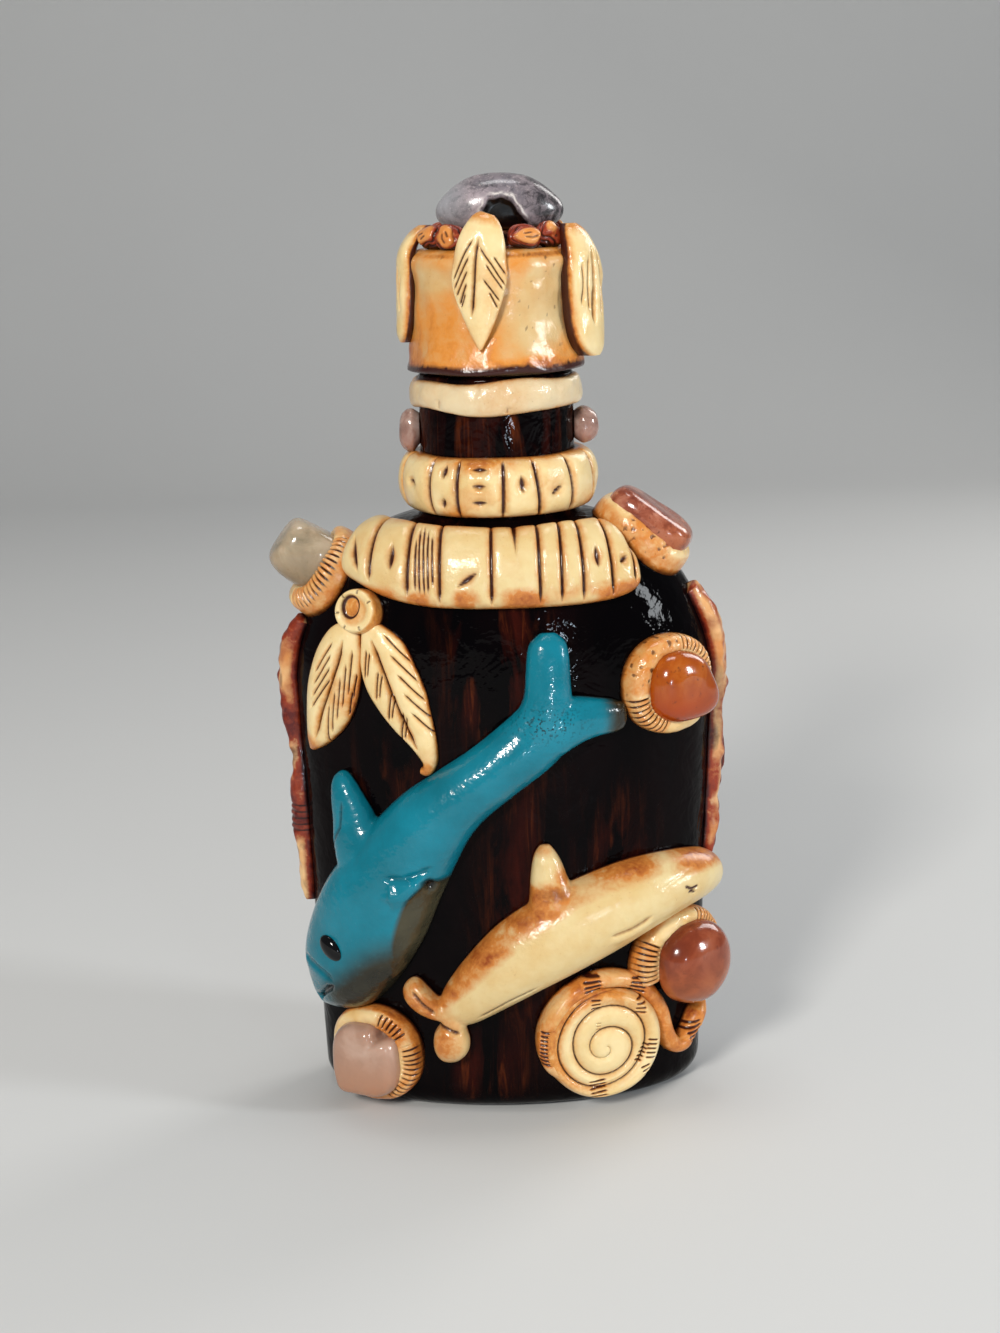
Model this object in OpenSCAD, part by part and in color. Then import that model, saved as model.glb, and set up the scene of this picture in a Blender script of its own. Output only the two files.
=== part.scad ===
// Flask decanter with a cork stopper, clay ornaments and set stones.
// Millimetres. +Z is up, the front faces -Y, and the origin is the centre of the base.
// An ornament is placed by its arc from the front centre line, its height, and how far it stands off the glass.

/* [Bottle] */
// Width of the glass at the shoulder
shoulder_w = 96.6; // [86:0.2:120]
// Width of the glass above the heel
base_w = 90; // [80:0.5:115]
// Depth of the glass at the shoulder, front to back
shoulder_depth = 52; // [46:0.5:64]
// Depth of the glass above the heel, front to back
base_depth = 49; // [44:0.5:60]
// Height where the straight sides end and the shoulder begins
shoulder_z = 100; // [95:0.5:130]
// Height of the shoulder, from the straight sides up to the neck
shoulder_rise = 38; // [34:0.5:50]
// Length of the neck, from the shoulder up to the lip
neck_len = 32; // [32:0.5:60]
// Outside diameter of the neck
neck_d = 35; // [30:0.5:44]
// Diameter of the bore that the cork fits
bore_d = 24; // [14:0.1:29]
// Radius of the rounded heel
heel_r = 6; // [3:0.5:10]
// Thickness of the glass walls
wall = 3; // [2:0.1:4]
// Thickness of the glass bottom
bottom = 5; // [3:0.1:9]

/* [Stopper] */
// Length of cork in the neck
cork_len = 24; // [12:0.5:30]
// Radial clearance of the cork in the bore
cork_fit = 0.05; // [0.01:0.01:0.1]
// Diameter of the wooden head
head_d = 31; // [28:0.5:40]
// Height of the wooden head above the lip
head_h = 24; // [18:0.5:30]
// Thickness of the clay cap round the head
cap_wall = 2.9; // [2:0.1:5]
// How far the cap's rim flares out beyond its top
cap_flare = 1.8; // [0.5:0.1:4]
// Thickness of the clay cap over the head
cap_roof = 3.2; // [2:0.1:6]
// Gap between the cap's rim and the plane of the lip
cap_lift = 0.4; // [0.3:0.1:2]
// Diameter and height of the clay bed under the top stone
bed_size = [20, 3.6]; // [2:0.1:30]
// Width, depth and height of the top stone
top_stone = [28.6, 15, 12.6]; // [6:0.1:36]
// How far the top stone sits to the right of the cap's middle
top_stone_shift = 1.8; // [-3:0.1:3]
// Diameter of a clay pellet
pellet_d = 5.6; // [3:0.1:6]
// Half width and thickness of a cap leaf
leaf_size = [6.5, 2.6]; // [1:0.1:9]

/* [Bands] */
// Height and thickness of the neck ring
ring_size = [7, 2]; // [1:0.1:9]
// Gap between the neck ring and the lip
ring_drop = 1; // [0.5:0.1:3]
// Height and thickness of the neck band
band_size = [13.2, 5.2]; // [2:0.1:18]
// Gap between the top of the shoulder and the neck band
band_lift = 1.2; // [0.4:0.1:4]
// Thickness of the shoulder band
shoulder_band_h = 4.8; // [3:0.1:6]

/* [Stones] */
// Width, height and thickness of the stone at the lower left
base_left_stone = [17.4, 17.6, 8.6]; // [4:0.1:24]
// Arc and height of the stone at the lower left
base_left_at = [-33, 13.4]; // [-40:0.1:40]
// Width, height and thickness of the stone at the lower right
base_right_stone = [18.6, 19, 9.4]; // [4:0.1:24]
// Arc and height of the stone at the lower right
base_right_at = [43, 34.6]; // [-50:0.1:50]
// Width, height and thickness of the stone at the upper right side
side_stone = [17.4, 16.6, 8.8]; // [4:0.1:24]
// Arc, and height above the start of the shoulder, of the stone at the upper right side
side_at = [39.2, 0.4]; // [-50:0.1:50]
// Width, height and thickness of the stone on the left shoulder
left_shoulder_stone = [15, 16, 14.4]; // [4:0.1:24]
// Angle round the bottle, and height above the start of the shoulder, of the left shoulder stone
left_shoulder_at = [-84, 25.8]; // [-120:0.1:120]
// Width, height and thickness of the stone on the right shoulder
right_shoulder_stone = [14, 18, 10.5]; // [4:0.1:24]
// Angle round the bottle, and height above the start of the shoulder, of the right shoulder stone
right_shoulder_at = [84, 32.4]; // [-120:0.1:120]
// Width, height and thickness of the stone on the left of the neck
left_neck_stone = [8, 8.2, 4.6]; // [3:0.1:12]
// Width, height and thickness of the stone on the right of the neck
right_neck_stone = [9, 8, 6]; // [3:0.1:12]
// Gap between a stone and its clay setting
stone_gap = 0.3; // [0.1:0.05:0.6]
// Widest part, narrowest part and height of a clay setting
bezel = [3, 1.4, 3.8]; // [1:0.1:6]

/* [Figures] */
// Height of the blue dolphin off the glass at its head
blue_h = 10.5; // [7:0.1:13]
// Height of the cream dolphin off the glass at its middle
cream_h = 9; // [6:0.1:12]
// Half width, half height and half thickness of the bead that is the blue dolphin's eye
eye = [2.3, 3, 1.5]; // [1:0.1:4]
// Diameter and height of the spiral disc
spiral = [27.4, 5.2]; // [3:0.1:30]
// Arc and height of the spiral disc's middle
spiral_at = [19.5, 17.4]; // [4:0.1:40]
// Half width and height of the strap that runs from the spiral
strap = [1.5, 3.6]; // [1:0.1:6]
// Diameter and height of the feather button
button = [10.4, 4.4]; // [3:0.1:14]
// Arc of the feather button's middle
button_arc = -32; // [-36:0.1:-26]
// Gap between the feather button and the edge of the shoulder band above it
button_gap = 1.1; // [0.8:0.1:3]
// Thickness of a feather
feather_h = 2.8; // [1.5:0.1:4]
// Half width and height of a clay rope
rope = [2.3, 4]; // [1:0.1:6]

/* [Fits] */
// Glue layer between the glass and what sits on it
glue = 0.35; // [0.3:0.05:0.6]
// Gap between two clay pieces that are pressed together
clay_gap = 0.2; // [0.1:0.05:0.5]
// Clearance between a clay band and the round neck
neck_fit = 0.1; // [0.05:0.05:0.3]

/* [Hidden] */
$fn = 96;
neck_r = neck_d / 2;
neck_z = shoulder_z + shoulder_rise;
lip_z = neck_z + neck_len;
lip_round = 1;
// The shoulder curve runs on inside the neck, so that the two surfaces cross cleanly
root_r = neck_r - 1.5;
bore_r = bore_d / 2;
// How far the inside of the shoulder stays below its outside
shoulder_wall = wall * 1.5;
inner_heel = heel_r;
sides = 48;
cap_z = lip_z + cap_lift;
head_gap = 0.1;
cap_top_r = head_d / 2 + head_gap + cap_wall;
cap_h = head_h - cap_lift + head_gap + cap_roof;
cap_round = 3;
cap_top = cap_z + cap_h;
// Leaves of the cap, each [angle round the bottle, height of its top above the cap, length, how far its foot
// stands off the cap]. At angle 0 a leaf is at the front and at 90 it is on the right.
leaves = [[-9, 7.8, 28.8, 0], [73, 4.9, 28.9, 2.2], [171, 7, 28, 0], [-99, 5.1, 25.7, 0.3]];
// Angles of the pellets, which lie between the leaves
pellet_turns = [-66, -38, 28, 56, 116, 142, 202, 228];

ivory = "#e8cf98";
amber = "#c98a4a";
rust = "#8a4a2c";
teal = "#1c7f90";

// Stations of a figure's body, each [arc, height, half width, share of the figure's height off the glass]
blue_body = [
    [-45.8, 25, 3, 0.4], [-44, 28, 6.6, 0.66], [-40.8, 33.5, 10, 0.86], [-36.8, 41, 11.7, 0.94],
    [-31.2, 51, 12.2, 1], [-25, 60.5, 11, 0.95], [-17.5, 70.5, 9.4, 0.9], [-11, 77, 7.6, 0.82],
    [-3.5, 82.6, 7, 0.74], [5, 88.3, 7.2, 0.66], [10.8, 92.6, 8.4, 0.5],
];
cream_body = [
    [-15, 24.4, 3.2, 0.45], [-11, 27.7, 5.6, 0.65], [-4, 33.6, 7.5, 0.85], [3.8, 39.6, 9.1, 0.95],
    [12, 44.2, 9.6, 1], [20, 47.9, 9.5, 1], [29, 51.4, 8.7, 1], [38, 53.7, 7, 0.92],
    [46, 54.4, 5.4, 0.8], [51, 54, 3.8, 0.6], [53.6, 53.4, 1.8, 0.35],
];

// Lines across a fin, from its root to its tip, each [left arc, left height, right arc, right height, share].
// A fin's root line lies along the body's edge and is worked out from it.
blue_dorsal = [[-41, 66.5, -31.6, 73.6, 0.46], [-41.3, 73, -34.4, 76.8, 0.4],
    [-41.2, 78.4, -36, 79.6, 0.32], [-39.8, 81.6, -37.8, 81.6, 0.18]];
blue_flipper = [[-13.8, 57.4, -17.2, 49, 0.5], [-12.2, 60, -13.8, 54.6, 0.36],
    [-11.2, 62.4, -11.6, 60.8, 0.2]];
blue_upper = [[5.2, 102.4, 14.2, 100.8, 0.48], [5.2, 106.2, 15, 104.6, 0.45],
    [5.4, 109.4, 15, 109, 0.42], [6.6, 112.6, 13.8, 112.4, 0.36], [9, 114.4, 11.2, 114.4, 0.2]];
blue_right = [[15.4, 99.4, 19, 88.8, 0.48], [20, 99.6, 22, 90.2, 0.44]];
cream_dorsal = [[5.4, 56.8, 12.2, 59.6, 0.58], [6.2, 61.4, 10.8, 63.2, 0.46],
    [7.4, 65.6, 9.2, 65.8, 0.22]];
cream_left = [[-18.4, 25, -19.8, 30, 0.4], [-21.6, 26, -22, 32.6, 0.34],
    [-24.6, 28.8, -24.6, 31, 0.2]];
cream_lower = [[-12, 19.3, -17, 21, 0.4], [-11.8, 16.6, -17, 17.2, 0.34],
    [-13.4, 14.8, -15.6, 14.8, 0.2]];

// Stations of the feathers, measured from the middle of their button
feather_l = [
    [-3, -6, 1.2, 0.7], [-3.8, -9.2, 3.8, 0.95], [-6.2, -15.6, 6, 1], [-8.9, -22.6, 6, 1],
    [-11.9, -29, 4.2, 0.85], [-14, -32.8, 1.2, 0.5],
];
feather_r = [
    [3, -5.8, 1.2, 0.7], [4.8, -9.4, 4, 0.95], [8, -15.6, 5.6, 1], [11.4, -22.6, 5, 1],
    [14.2, -28.8, 3.2, 0.9], [15.2, -32.2, 1.6, 0.75], [14, -34.6, 0.8, 0.5],
];
// Stations of the ropes, with heights from the start of the shoulder
vine_l = [
    [-52, 14.6, 0.8, 0.6], [-55.5, 9, 1, 1], [-57.4, 2, 1, 1], [-57.6, -6, 1, 1],
    [-57.2, -13, 0.9, 0.9], [-56, -20, 0.8, 0.7], [-55.8, -28, 1, 0.9], [-56.4, -36, 1, 0.9],
    [-56, -44, 0.9, 0.8], [-55.6, -51, 0.8, 0.7], [-56, -54, 0.4, 0.4],
];
vine_r = [
    [49.5, 19.6, 0.8, 0.6], [54, 13, 1, 1], [57.2, 6, 1, 1], [58.2, -2, 1, 1], [57.8, -10, 0.9, 0.9],
    [57.4, -18, 1, 1], [57, -26, 1, 0.9], [56.2, -33, 0.9, 0.8], [55, -38, 0.7, 0.7],
    [54.2, -40.4, 0.4, 0.4],
];

function lerp(a, b, t) = a + (b - a) * t;
function unit(v) = v / norm(v);
function arch(t) = sqrt(max(0, 1 - t * t));

// Half width or half depth of the glass at a height, from its sizes at the heel and the shoulder
function glass_half(z, low, high) =
    z >= neck_z ? neck_r
    : z > shoulder_z ? root_r + (high - root_r) * arch((z - shoulder_z) / shoulder_rise)
    : z >= heel_r ? lerp(low, high, (z - heel_r) / (shoulder_z - heel_r))
    : low - heel_r + heel_r * arch((heel_r - max(z, 0)) / heel_r);
function half_w(z) = glass_half(z, base_w / 2, shoulder_w / 2);
function half_d(z) = glass_half(z, base_depth / 2, shoulder_depth / 2);

// The same for the hollow inside
function hollow_half(z, low, high) =
    z > shoulder_z
        ? bore_r - 1 + (high - wall - bore_r + 1) * arch((z - shoulder_z) / (shoulder_rise - shoulder_wall))
    : z >= bottom + inner_heel ? lerp(low, high, (z - heel_r) / (shoulder_z - heel_r)) - wall
    : low - wall - inner_heel + inner_heel * arch((bottom + inner_heel - z) / inner_heel);
function hollow_w(z) = hollow_half(z, base_w / 2, shoulder_w / 2);
function hollow_d(z) = hollow_half(z, base_depth / 2, shoulder_depth / 2);

function glass_point(turn, z) = [half_w(z) * sin(turn), -half_d(z) * cos(turn), z];
function glass_normal(turn, z) =
    let (w = half_w(z), d = half_d(z), step = 0.01)
    let (dw = (half_w(z + step) - half_w(z - step)) / (2 * step))
    let (dd = (half_d(z + step) - half_d(z - step)) / (2 * step))
    unit([sin(turn) / w, -cos(turn) / d, -(sin(turn) ^ 2 * dw / w + cos(turn) ^ 2 * dd / d)]);

// Angle round the bottle at which the arc from the front centre line reaches a length
function arc_terms(z) =
    let (w = half_w(z), d = half_d(z), mid = sqrt((w * w + d * d) / 2))
    [(w + d + 2 * mid) / 4, (w - d) / 2, (w + d - 2 * mid) / 4];
function arc_length(c, turn) = c[0] * turn * PI / 180 + c[1] / 2 * sin(2 * turn) + c[2] / 4 * sin(4 * turn);
function arc_rate(c, turn) = (c[0] + c[1] * cos(2 * turn) + c[2] * cos(4 * turn)) * PI / 180;
function arc_turn(c, arc, turn, tries = 5) =
    tries == 0 ? turn : arc_turn(c, arc, turn + (arc - arc_length(c, turn)) / arc_rate(c, turn), tries - 1);
function turn_at(arc, z) = let (c = arc_terms(z)) arc_turn(c, arc, arc / c[0] * 180 / PI);

// A place on the glass by arc and height, and how far it stands off the glue
on_glass = function (arc, z, off)
    let (turn = turn_at(arc, z))
    glass_point(turn, z) + (glue + off) * glass_normal(turn, z);

// Radius of the cap, and of the back of a leaf, which bends in over the cap's top
function cap_r(z) = cap_top_r + cap_flare * (1 - (z - cap_z) / cap_h) ^ 3;
leaf_bend = 0.03;
function leaf_r(z) =
    let (bend_z = cap_top - cap_round) cap_r(min(z, bend_z)) - leaf_bend * max(0, z - bend_z) ^ 2;
// A place on the cap, where the arc is measured from a leaf's own middle line
function on_cap(turn, stand) = function (arc, z, off)
    let (away = stand * sin(90 * min(1, max(0, (cap_top - z) / cap_h * 2))))
    let (r = leaf_r(z) + clay_gap + away + off, a = turn + arc / leaf_r(cap_z) * 180 / PI)
    [r * sin(a), -r * cos(a), z];

// Stations along a smooth curve through the given ones
function curve(p, q, r, s, t) =
    (2 * q + (r - p) * t + (2 * p - 5 * q + 4 * r - s) * t ^ 2 + (3 * q - p - 3 * r + s) * t ^ 3) / 2;
function smooth(path, steps = 2) =
    let (last = len(path) - 1)
    concat([for (i = [0:last - 1], k = [0:steps - 1])
        curve(path[max(i - 1, 0)], path[i], path[i + 1], path[min(i + 2, last)], k / steps)], [path[last]]);

// Stations with their width, height off the glass and level in millimetres
function sized(path, w, h, at = [0, 0]) = [for (p = path) [p[0] + at[0], p[1] + at[1], p[2] * w, p[3] * h]];

// Edge of a strip at a station: side 1 is the left of its path and -1 the right
function edge(path, i, side, more = 0) =
    let (p = path[i], ahead = path[min(i + 1, len(path) - 1)] - path[max(i - 1, 0)])
    let (along = unit([ahead[0], ahead[1]]))
    [p[0], p[1]] + side * (p[2] + more) * [-along[1], along[0]];
// Line across a strip at a station, with its height off the glass
function line_at(path, i) = concat(edge(path, i, 1), edge(path, i, -1), [path[i][3]]);

// Cross-section of a clay strip: across it, and off the glass
strip_section = concat(
    [for (a = [0:22.5:180]) [cos(a), sin(a)]], [for (x = [-0.84, -0.5, -0.17, 0.17, 0.5, 0.84]) [x, 0]]);
function strip_ring(line, place) =
    let (left = [line[0], line[1]], right = [line[2], line[3]])
    [for (q = strip_section) let (p = lerp(right, left, (1 + q[0]) / 2))
        place(p[0], p[1], q[1] > 0.01 ? q[1] * line[4] : 0)];

// Triangles across a ring of n points, zipped from its first point to the far side
function zipped(n) = [for (k = [0:floor(n / 2)], t = [[k, k + 1, n - 1 - k], [k + 1, n - 2 - k, n - 1 - k]])
    if (t[0] < t[1] && t[1] < t[2]) t];
// Solid skinned over rings of points, closed into a loop or capped at both ends
module skin(rings, loop = false) {
    n = len(rings[0]);
    m = len(rings);
    tube = [for (i = [0:m - (loop ? 1 : 2)], j = [0:n - 1])
        let (row = i * n, next = (i + 1) % m * n, k = (j + 1) % n)
        each [[row + j, next + j, row + k], [row + k, next + j, next + k]]];
    far = (m - 1) * n;
    caps = [for (t = zipped(n)) each [t, [far + t[2], far + t[1], far + t[0]]]];
    polyhedron([for (ring = rings) each ring], loop ? tube : concat(tube, caps));
}

// Clay blade over lines, each [left arc, left height, right arc, right height, height off the glass]
module blade(lines, place = on_glass) {
    skin([for (line = smooth(lines)) strip_ring(line, place)]);
}
// Clay strip along stations, each [arc, height, half width, height off the glass]
module strip(path, place = on_glass) {
    fine = smooth(path);
    skin([for (i = [0:len(fine) - 1]) strip_ring(line_at(fine, i), place)]);
}

// Local frame on the glass: [place, outward, sideways, upwards]
function frame(turn, z) =
    let (out = glass_normal(turn, z), side = [cos(turn), sin(turn), 0])
    let (across = unit(side - out * (side * out)))
    [glass_point(turn, z), out, across, cross(out, across)];
function in_frame(f, p, off) = f[0] + p[0] * f[2] + p[1] * f[3] + off * f[1];

// How far the glass lies below the frame's plane at a place, up to a limit
function outside(p) = (p[0] / half_w(p[2])) ^ 2 + (p[1] / half_d(p[2])) ^ 2 > 1;
function sink(f, p, high = 7, low = -1, tries = 11) =
    tries == 0 ? (low + high) / 2
    : let (mid = (low + high) / 2)
        outside(in_frame(f, p, -mid)) ? sink(f, p, high, mid, tries - 1) : sink(f, p, mid, low, tries - 1);

// Rounded outline of a stone with the given sizes, widened all round
stone_power = 2.3;
function outline(size, a, more = 0) =
    let (x = abs(cos(a)) / (size[0] / 2 + more), y = abs(sin(a)) / (size[1] / 2 + more))
    [cos(a), sin(a)] / (x ^ stone_power + y ^ stone_power) ^ (1 / stone_power);

// Rings of a pad: share of its outline and share of its height, where 0 lies on the glass
pebble = [
    [0.06, 0], [0.4, 0], [0.72, 0], [0.97, 0.28], [1, 0.45], [0.93, 0.66], [0.74, 0.86], [0.42, 0.98], [0.1, 1],
];
tablet = [[0.05, 0], [0.36, 0], [0.68, 0], [0.97, 0], [1, 0.3], [0.99, 0.7], [0.93, 0.94], [0.8, 1], [0.3, 1]];
tablet_follow = 0.7;
pad_sides = 24;
// Pebble or tablet on the glass; follow says how much of the glass's own curve its face takes up
module pad(f, size, rings, follow) {
    skin([for (ring = rings) [for (k = [0:pad_sides - 1])
        let (p = ring[0] * outline(size, 360 * k / pad_sides), low = sink(f, p))
        in_frame(f, p, ring[1] == 0 ? glue - low : max(glue, -follow * low + ring[1] * size[2]))]]);
}

// Clay setting round a stone: the widest part faces the angle given
bezel_section = [[0, 0], [0, 0.8], [0.3, 1], [0.68, 0.94], [0.94, 0.6], [1, 0], [0.5, 0]];
bezel_follow = 0.6;
bezel_sides = 32;
function bezel_ring(f, size, a, wide_at) =
    let (inner = outline(size, a, stone_gap))
    let (width = lerp(bezel[1], bezel[0], (1 + cos(a - wide_at)) / 2))
    [for (q = bezel_section)
        let (p = inner + q[0] * width * unit(inner), low = sink(f, p))
        in_frame(f, p, q[1] == 0 ? glue - low : glue - bezel_follow * low + q[1] * bezel[2])];
module setting(f, size, wide_at) {
    color(amber)
        skin([for (k = [0:bezel_sides - 1]) bezel_ring(f, size, 360 * k / bezel_sides, wide_at)], loop = true);
}
module open_setting(f, size, wide_at, from, to) {
    color(amber)
        skin([for (k = [0:bezel_sides]) bezel_ring(f, size, lerp(from, to, k / bezel_sides), wide_at)]);
}
function frame_by_arc(at, up = 0) = frame(turn_at(at[0], at[1] + up), at[1] + up);

// Rounded profile of a ring round the neck, from its inner radius, thickness, foot and height
function ring_profile(inner, thick, z, h) =
    let (power = 0.62, eased = 0.12 * h)
    concat([[inner, z + eased]],
        [for (a = [-84:12:84])
            [inner + thick * cos(a) ^ power, z + h / 2 * (1 + sign(a) * abs(sin(a)) ^ power)]],
        [[inner, z + h - eased]]);

// Upright solid with an oval section, from its half width and half depth at each level
module oval_skin(levels, w, d) {
    skin([for (z = levels) [for (i = [0:sides - 1])
        let (turn = 360 * i / sides) [w(z) * sin(turn), -d(z) * cos(turn), z]]]);
}

module bottle_glass() {
    foot = 1;
    heel = [for (a = [0:22.5:90]) heel_r * (1 - cos(a))];
    flank = [for (k = [1:4]) lerp(heel_r, shoulder_z, k / 4)];
    shoulder = [for (a = [12, 24, 36, 48, 59, 69, 78, 86]) shoulder_z + shoulder_rise * sin(a)];
    inner_rise = shoulder_rise - shoulder_wall;
    inner = concat(
        [for (a = [0:30:90]) bottom + inner_heel * (1 - cos(a))],
        [for (k = [1:3]) lerp(bottom + inner_heel, shoulder_z, k / 3)],
        [for (a = [15, 30, 45, 58, 70, 80, 87]) shoulder_z + inner_rise * sin(a)]);
    color("#2a120c")
        difference() {
            union() {
                oval_skin(
                    concat([-foot], heel, flank, shoulder), function (z) half_w(z), function (z) half_d(z));
                rotate_extrude() polygon([
                    [0, neck_z - shoulder_wall], [neck_r, neck_z - shoulder_wall], [neck_r, lip_z - lip_round],
                    [neck_r - lip_round, lip_z], [0, lip_z]]);
            }
            translate([-base_w, -base_depth, -2 * foot]) cube([2 * base_w, 2 * base_depth, 2 * foot]);
            union() {
                oval_skin(inner, function (z) hollow_w(z), function (z) hollow_d(z));
                translate([0, 0, shoulder_z + inner_rise / 2]) cylinder(r = bore_r, h = lip_z);
            }
        }
}

module neck_ring() {
    color(ivory) rotate_extrude()
        polygon(ring_profile(neck_r + neck_fit, ring_size[1], lip_z - ring_drop - ring_size[0], ring_size[0]));
}

module neck_band() {
    color(ivory) rotate_extrude()
        polygon(ring_profile(neck_r + neck_fit, band_size[1], neck_z + band_lift, band_size[0]));
}

// Arc at which the setting of a shoulder stone begins, as seen from the front
function setting_arc(at, stone) =
    arc_length(arc_terms(shoulder_z + at[1]), abs(at[0])) - stone[0] / 2 - stone_gap - bezel[0] - clay_gap;
// Lines across the shoulder band, each [upper arc, upper height, lower arc, lower height, share of its
// thickness]. At its two ends the arcs are measured from the settings there.
band_left = [[3.9, 31.6, 2.5, 27.4, 0.6], [5.2, 34, 3.2, 25.2, 0.9], [8, 36, 6.6, 24.6, 1]];
band_middle = [[-24, 36.2, -24, 21.6, 1], [-16.5, 36.2, -16.5, 20.2, 1], [-8, 36.4, -8, 20, 1],
    [0, 36.4, 0, 20, 1], [8, 36.4, 8, 20, 1], [15, 36.4, 16.4, 20, 1]];
band_right = [[-8.2, 36, -5, 20.6, 1], [-5.4, 34.6, 0.4, 22.6, 0.95], [-3.2, 32.6, 0.8, 27, 0.6]];
band_lines =
    let (left = -setting_arc(left_shoulder_at, left_shoulder_stone))
    let (right = setting_arc(right_shoulder_at, right_shoulder_stone))
    concat([for (line = band_left) line + [left, 0, left, 0, 0]], band_middle,
        [for (line = band_right) line + [right, 0, right, 0, 0]]);
module shoulder_band() {
    color(ivory) blade([for (line = band_lines)
        [line[0], shoulder_z + line[1], line[2], shoulder_z + line[3], line[4] * shoulder_band_h]]);
}

neck_stone_z = (neck_z + band_lift + band_size[0] + lip_z - ring_drop - ring_size[0]) / 2;
module neck_stone_left() { color("#b98f84") pad(frame(-90, neck_stone_z), left_neck_stone, pebble, 0); }
module neck_stone_right() { color("#c7a79b") pad(frame(90, neck_stone_z), right_neck_stone, pebble, 0); }

left_shoulder = frame(left_shoulder_at[0], shoulder_z + left_shoulder_at[1]);
module shoulder_stone_left() { color("#8d9384") pad(left_shoulder, left_shoulder_stone, pebble, 0); }
module shoulder_bezel_left() { setting(left_shoulder, left_shoulder_stone, 270); }

right_shoulder = frame(right_shoulder_at[0], shoulder_z + right_shoulder_at[1]);
module shoulder_stone_right() { color("#7d4238") pad(right_shoulder, right_shoulder_stone, pebble, 0); }
module shoulder_bezel_right() { setting(right_shoulder, right_shoulder_stone, 180); }

side_frame = frame_by_arc(side_at, shoulder_z);
module side_stone_right() { color("#c06a2c") pad(side_frame, side_stone, pebble, 0); }
module side_bezel_right() { setting(side_frame, side_stone, 180); }

base_left = frame_by_arc(base_left_at);
module base_stone_left() { color("#d9b3a6") pad(base_left, base_left_stone, pebble, 0); }
module base_bezel_left() { setting(base_left, base_left_stone, 40); }

base_right = frame_by_arc(base_right_at);
module base_stone_right() { color("#7c2c1e") pad(base_right, base_right_stone, pebble, 0); }
module base_bezel_right() { open_setting(base_right, base_right_stone, 190, 20, 200); }

// The button sits under the band's lower edge, and the feathers hang from it
band_low = lookup(button_arc, [for (line = band_lines) [line[2], line[3]]]);
button_at = [button_arc, shoulder_z + band_low - button_gap - button[0] / 2];
module feather_button() {
    size = [button[0], button[0], button[1]];
    color(ivory) pad(frame_by_arc(button_at), size, tablet, tablet_follow);
}
module feather_left() { color(ivory) strip(sized(feather_l, 1, feather_h, button_at)); }
module feather_right() { color(ivory) strip(sized(feather_r, 1, feather_h, button_at)); }

module vine_left() { color(rust) strip(sized(vine_l, rope[0], rope[1], [0, shoulder_z])); }
module vine_right() { color(rust) strip(sized(vine_r, rope[0], rope[1], [0, shoulder_z])); }

// Place on the edge of a body, between its stations, with the gap that a fin keeps from it
fin_gap = 0.6;
function body_edge(body, i, side) =
    let (low = edge(body, floor(i), side, fin_gap), high = edge(body, ceil(i), side, fin_gap))
    lerp(low, high, i - floor(i));
// Fin or fluke from a root line through the lines given
module fin(left, right, lines, root_share, h) {
    blade([for (line = concat([concat(left, right, [root_share])], lines))
        [line[0], line[1], line[2], line[3], line[4] * h]]);
}

eye_station = 3;
eye_sink = 0.4;
eye_gap = 0.1;
module eye_bead(grow) {
    at = blue_body[eye_station];
    skin([for (b = [-80:20:80]) [for (a = [0:30:330]) on_glass(
        at[0] + (eye[0] + grow) * cos(a) * cos(b), at[1] + (eye[1] + grow) * sin(a) * cos(b),
        blue_h - eye_sink + (eye[2] + grow) * sin(b))]]);
}

module blue_dolphin_body() {
    color(teal) difference() {
        strip(sized(blue_body, 1, blue_h));
        eye_bead(eye_gap);
    }
}
module blue_dolphin_eye() { color("#101010") eye_bead(0); }
module blue_dolphin_dorsal_fin() {
    color(teal) fin(body_edge(blue_body, 4.1, 1), body_edge(blue_body, 5.8, 1), blue_dorsal, 0.5, blue_h);
}
module blue_dolphin_flipper() {
    color(teal) fin(body_edge(blue_body, 5, -1), body_edge(blue_body, 4, -1), blue_flipper, 0.6, blue_h);
}

// The two flukes share the end of the body: its left half carries one and its right half the other
tail = len(blue_body) - 1;
tail_gap = 0.4;
tail_left = body_edge(blue_body, tail, 1) + tail_gap * [1, 1];
tail_right = body_edge(blue_body, tail, -1) + tail_gap * [1, 1];
tail_seam = 0.3;
module blue_dolphin_upper_fluke() {
    middle = (tail_left + tail_right) / 2 + [-tail_seam, tail_seam];
    color(teal) fin(tail_left, middle, blue_upper, 0.5, blue_h);
}
// The right fluke ends where it meets the setting of the side stone
module blue_dolphin_right_fluke() {
    middle = (tail_left + tail_right) / 2 + [tail_seam, -tail_seam];
    end = side_at[0] - side_stone[0] / 2 - stone_gap - bezel[0] - 2 * clay_gap;
    color(teal) fin(middle, tail_right, concat(blue_right, [[end, 98.2, end, 91.4, 0.3]]), 0.5, blue_h);
}

module cream_dolphin_body() { color(ivory) strip(sized(cream_body, 1, cream_h)); }
module cream_dolphin_dorsal_fin() {
    color(ivory) fin(body_edge(cream_body, 3.6, 1), body_edge(cream_body, 4.8, 1), cream_dorsal, 0.7, cream_h);
}
// The cream dolphin's tail is its first station, and its flukes part in the middle of that end
cream_end = [cream_body[0][0], cream_body[0][1]] - tail_gap * [1, 1];
cream_seam = 0.2;
module cream_dolphin_left_fluke() {
    color(ivory)
        fin(cream_end + cream_seam * [-1, 1], cream_end + [-1.8, 2.8], cream_left, 0.42, cream_h);
}
module cream_dolphin_lower_fluke() {
    color(ivory)
        fin(cream_end + [2.2, -2.4], cream_end + cream_seam * [1, -1], cream_lower, 0.42, cream_h);
}

module spiral_disc() {
    color(ivory) pad(frame_by_arc(spiral_at), [spiral[0], spiral[0], spiral[1]], tablet, tablet_follow);
}

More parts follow.
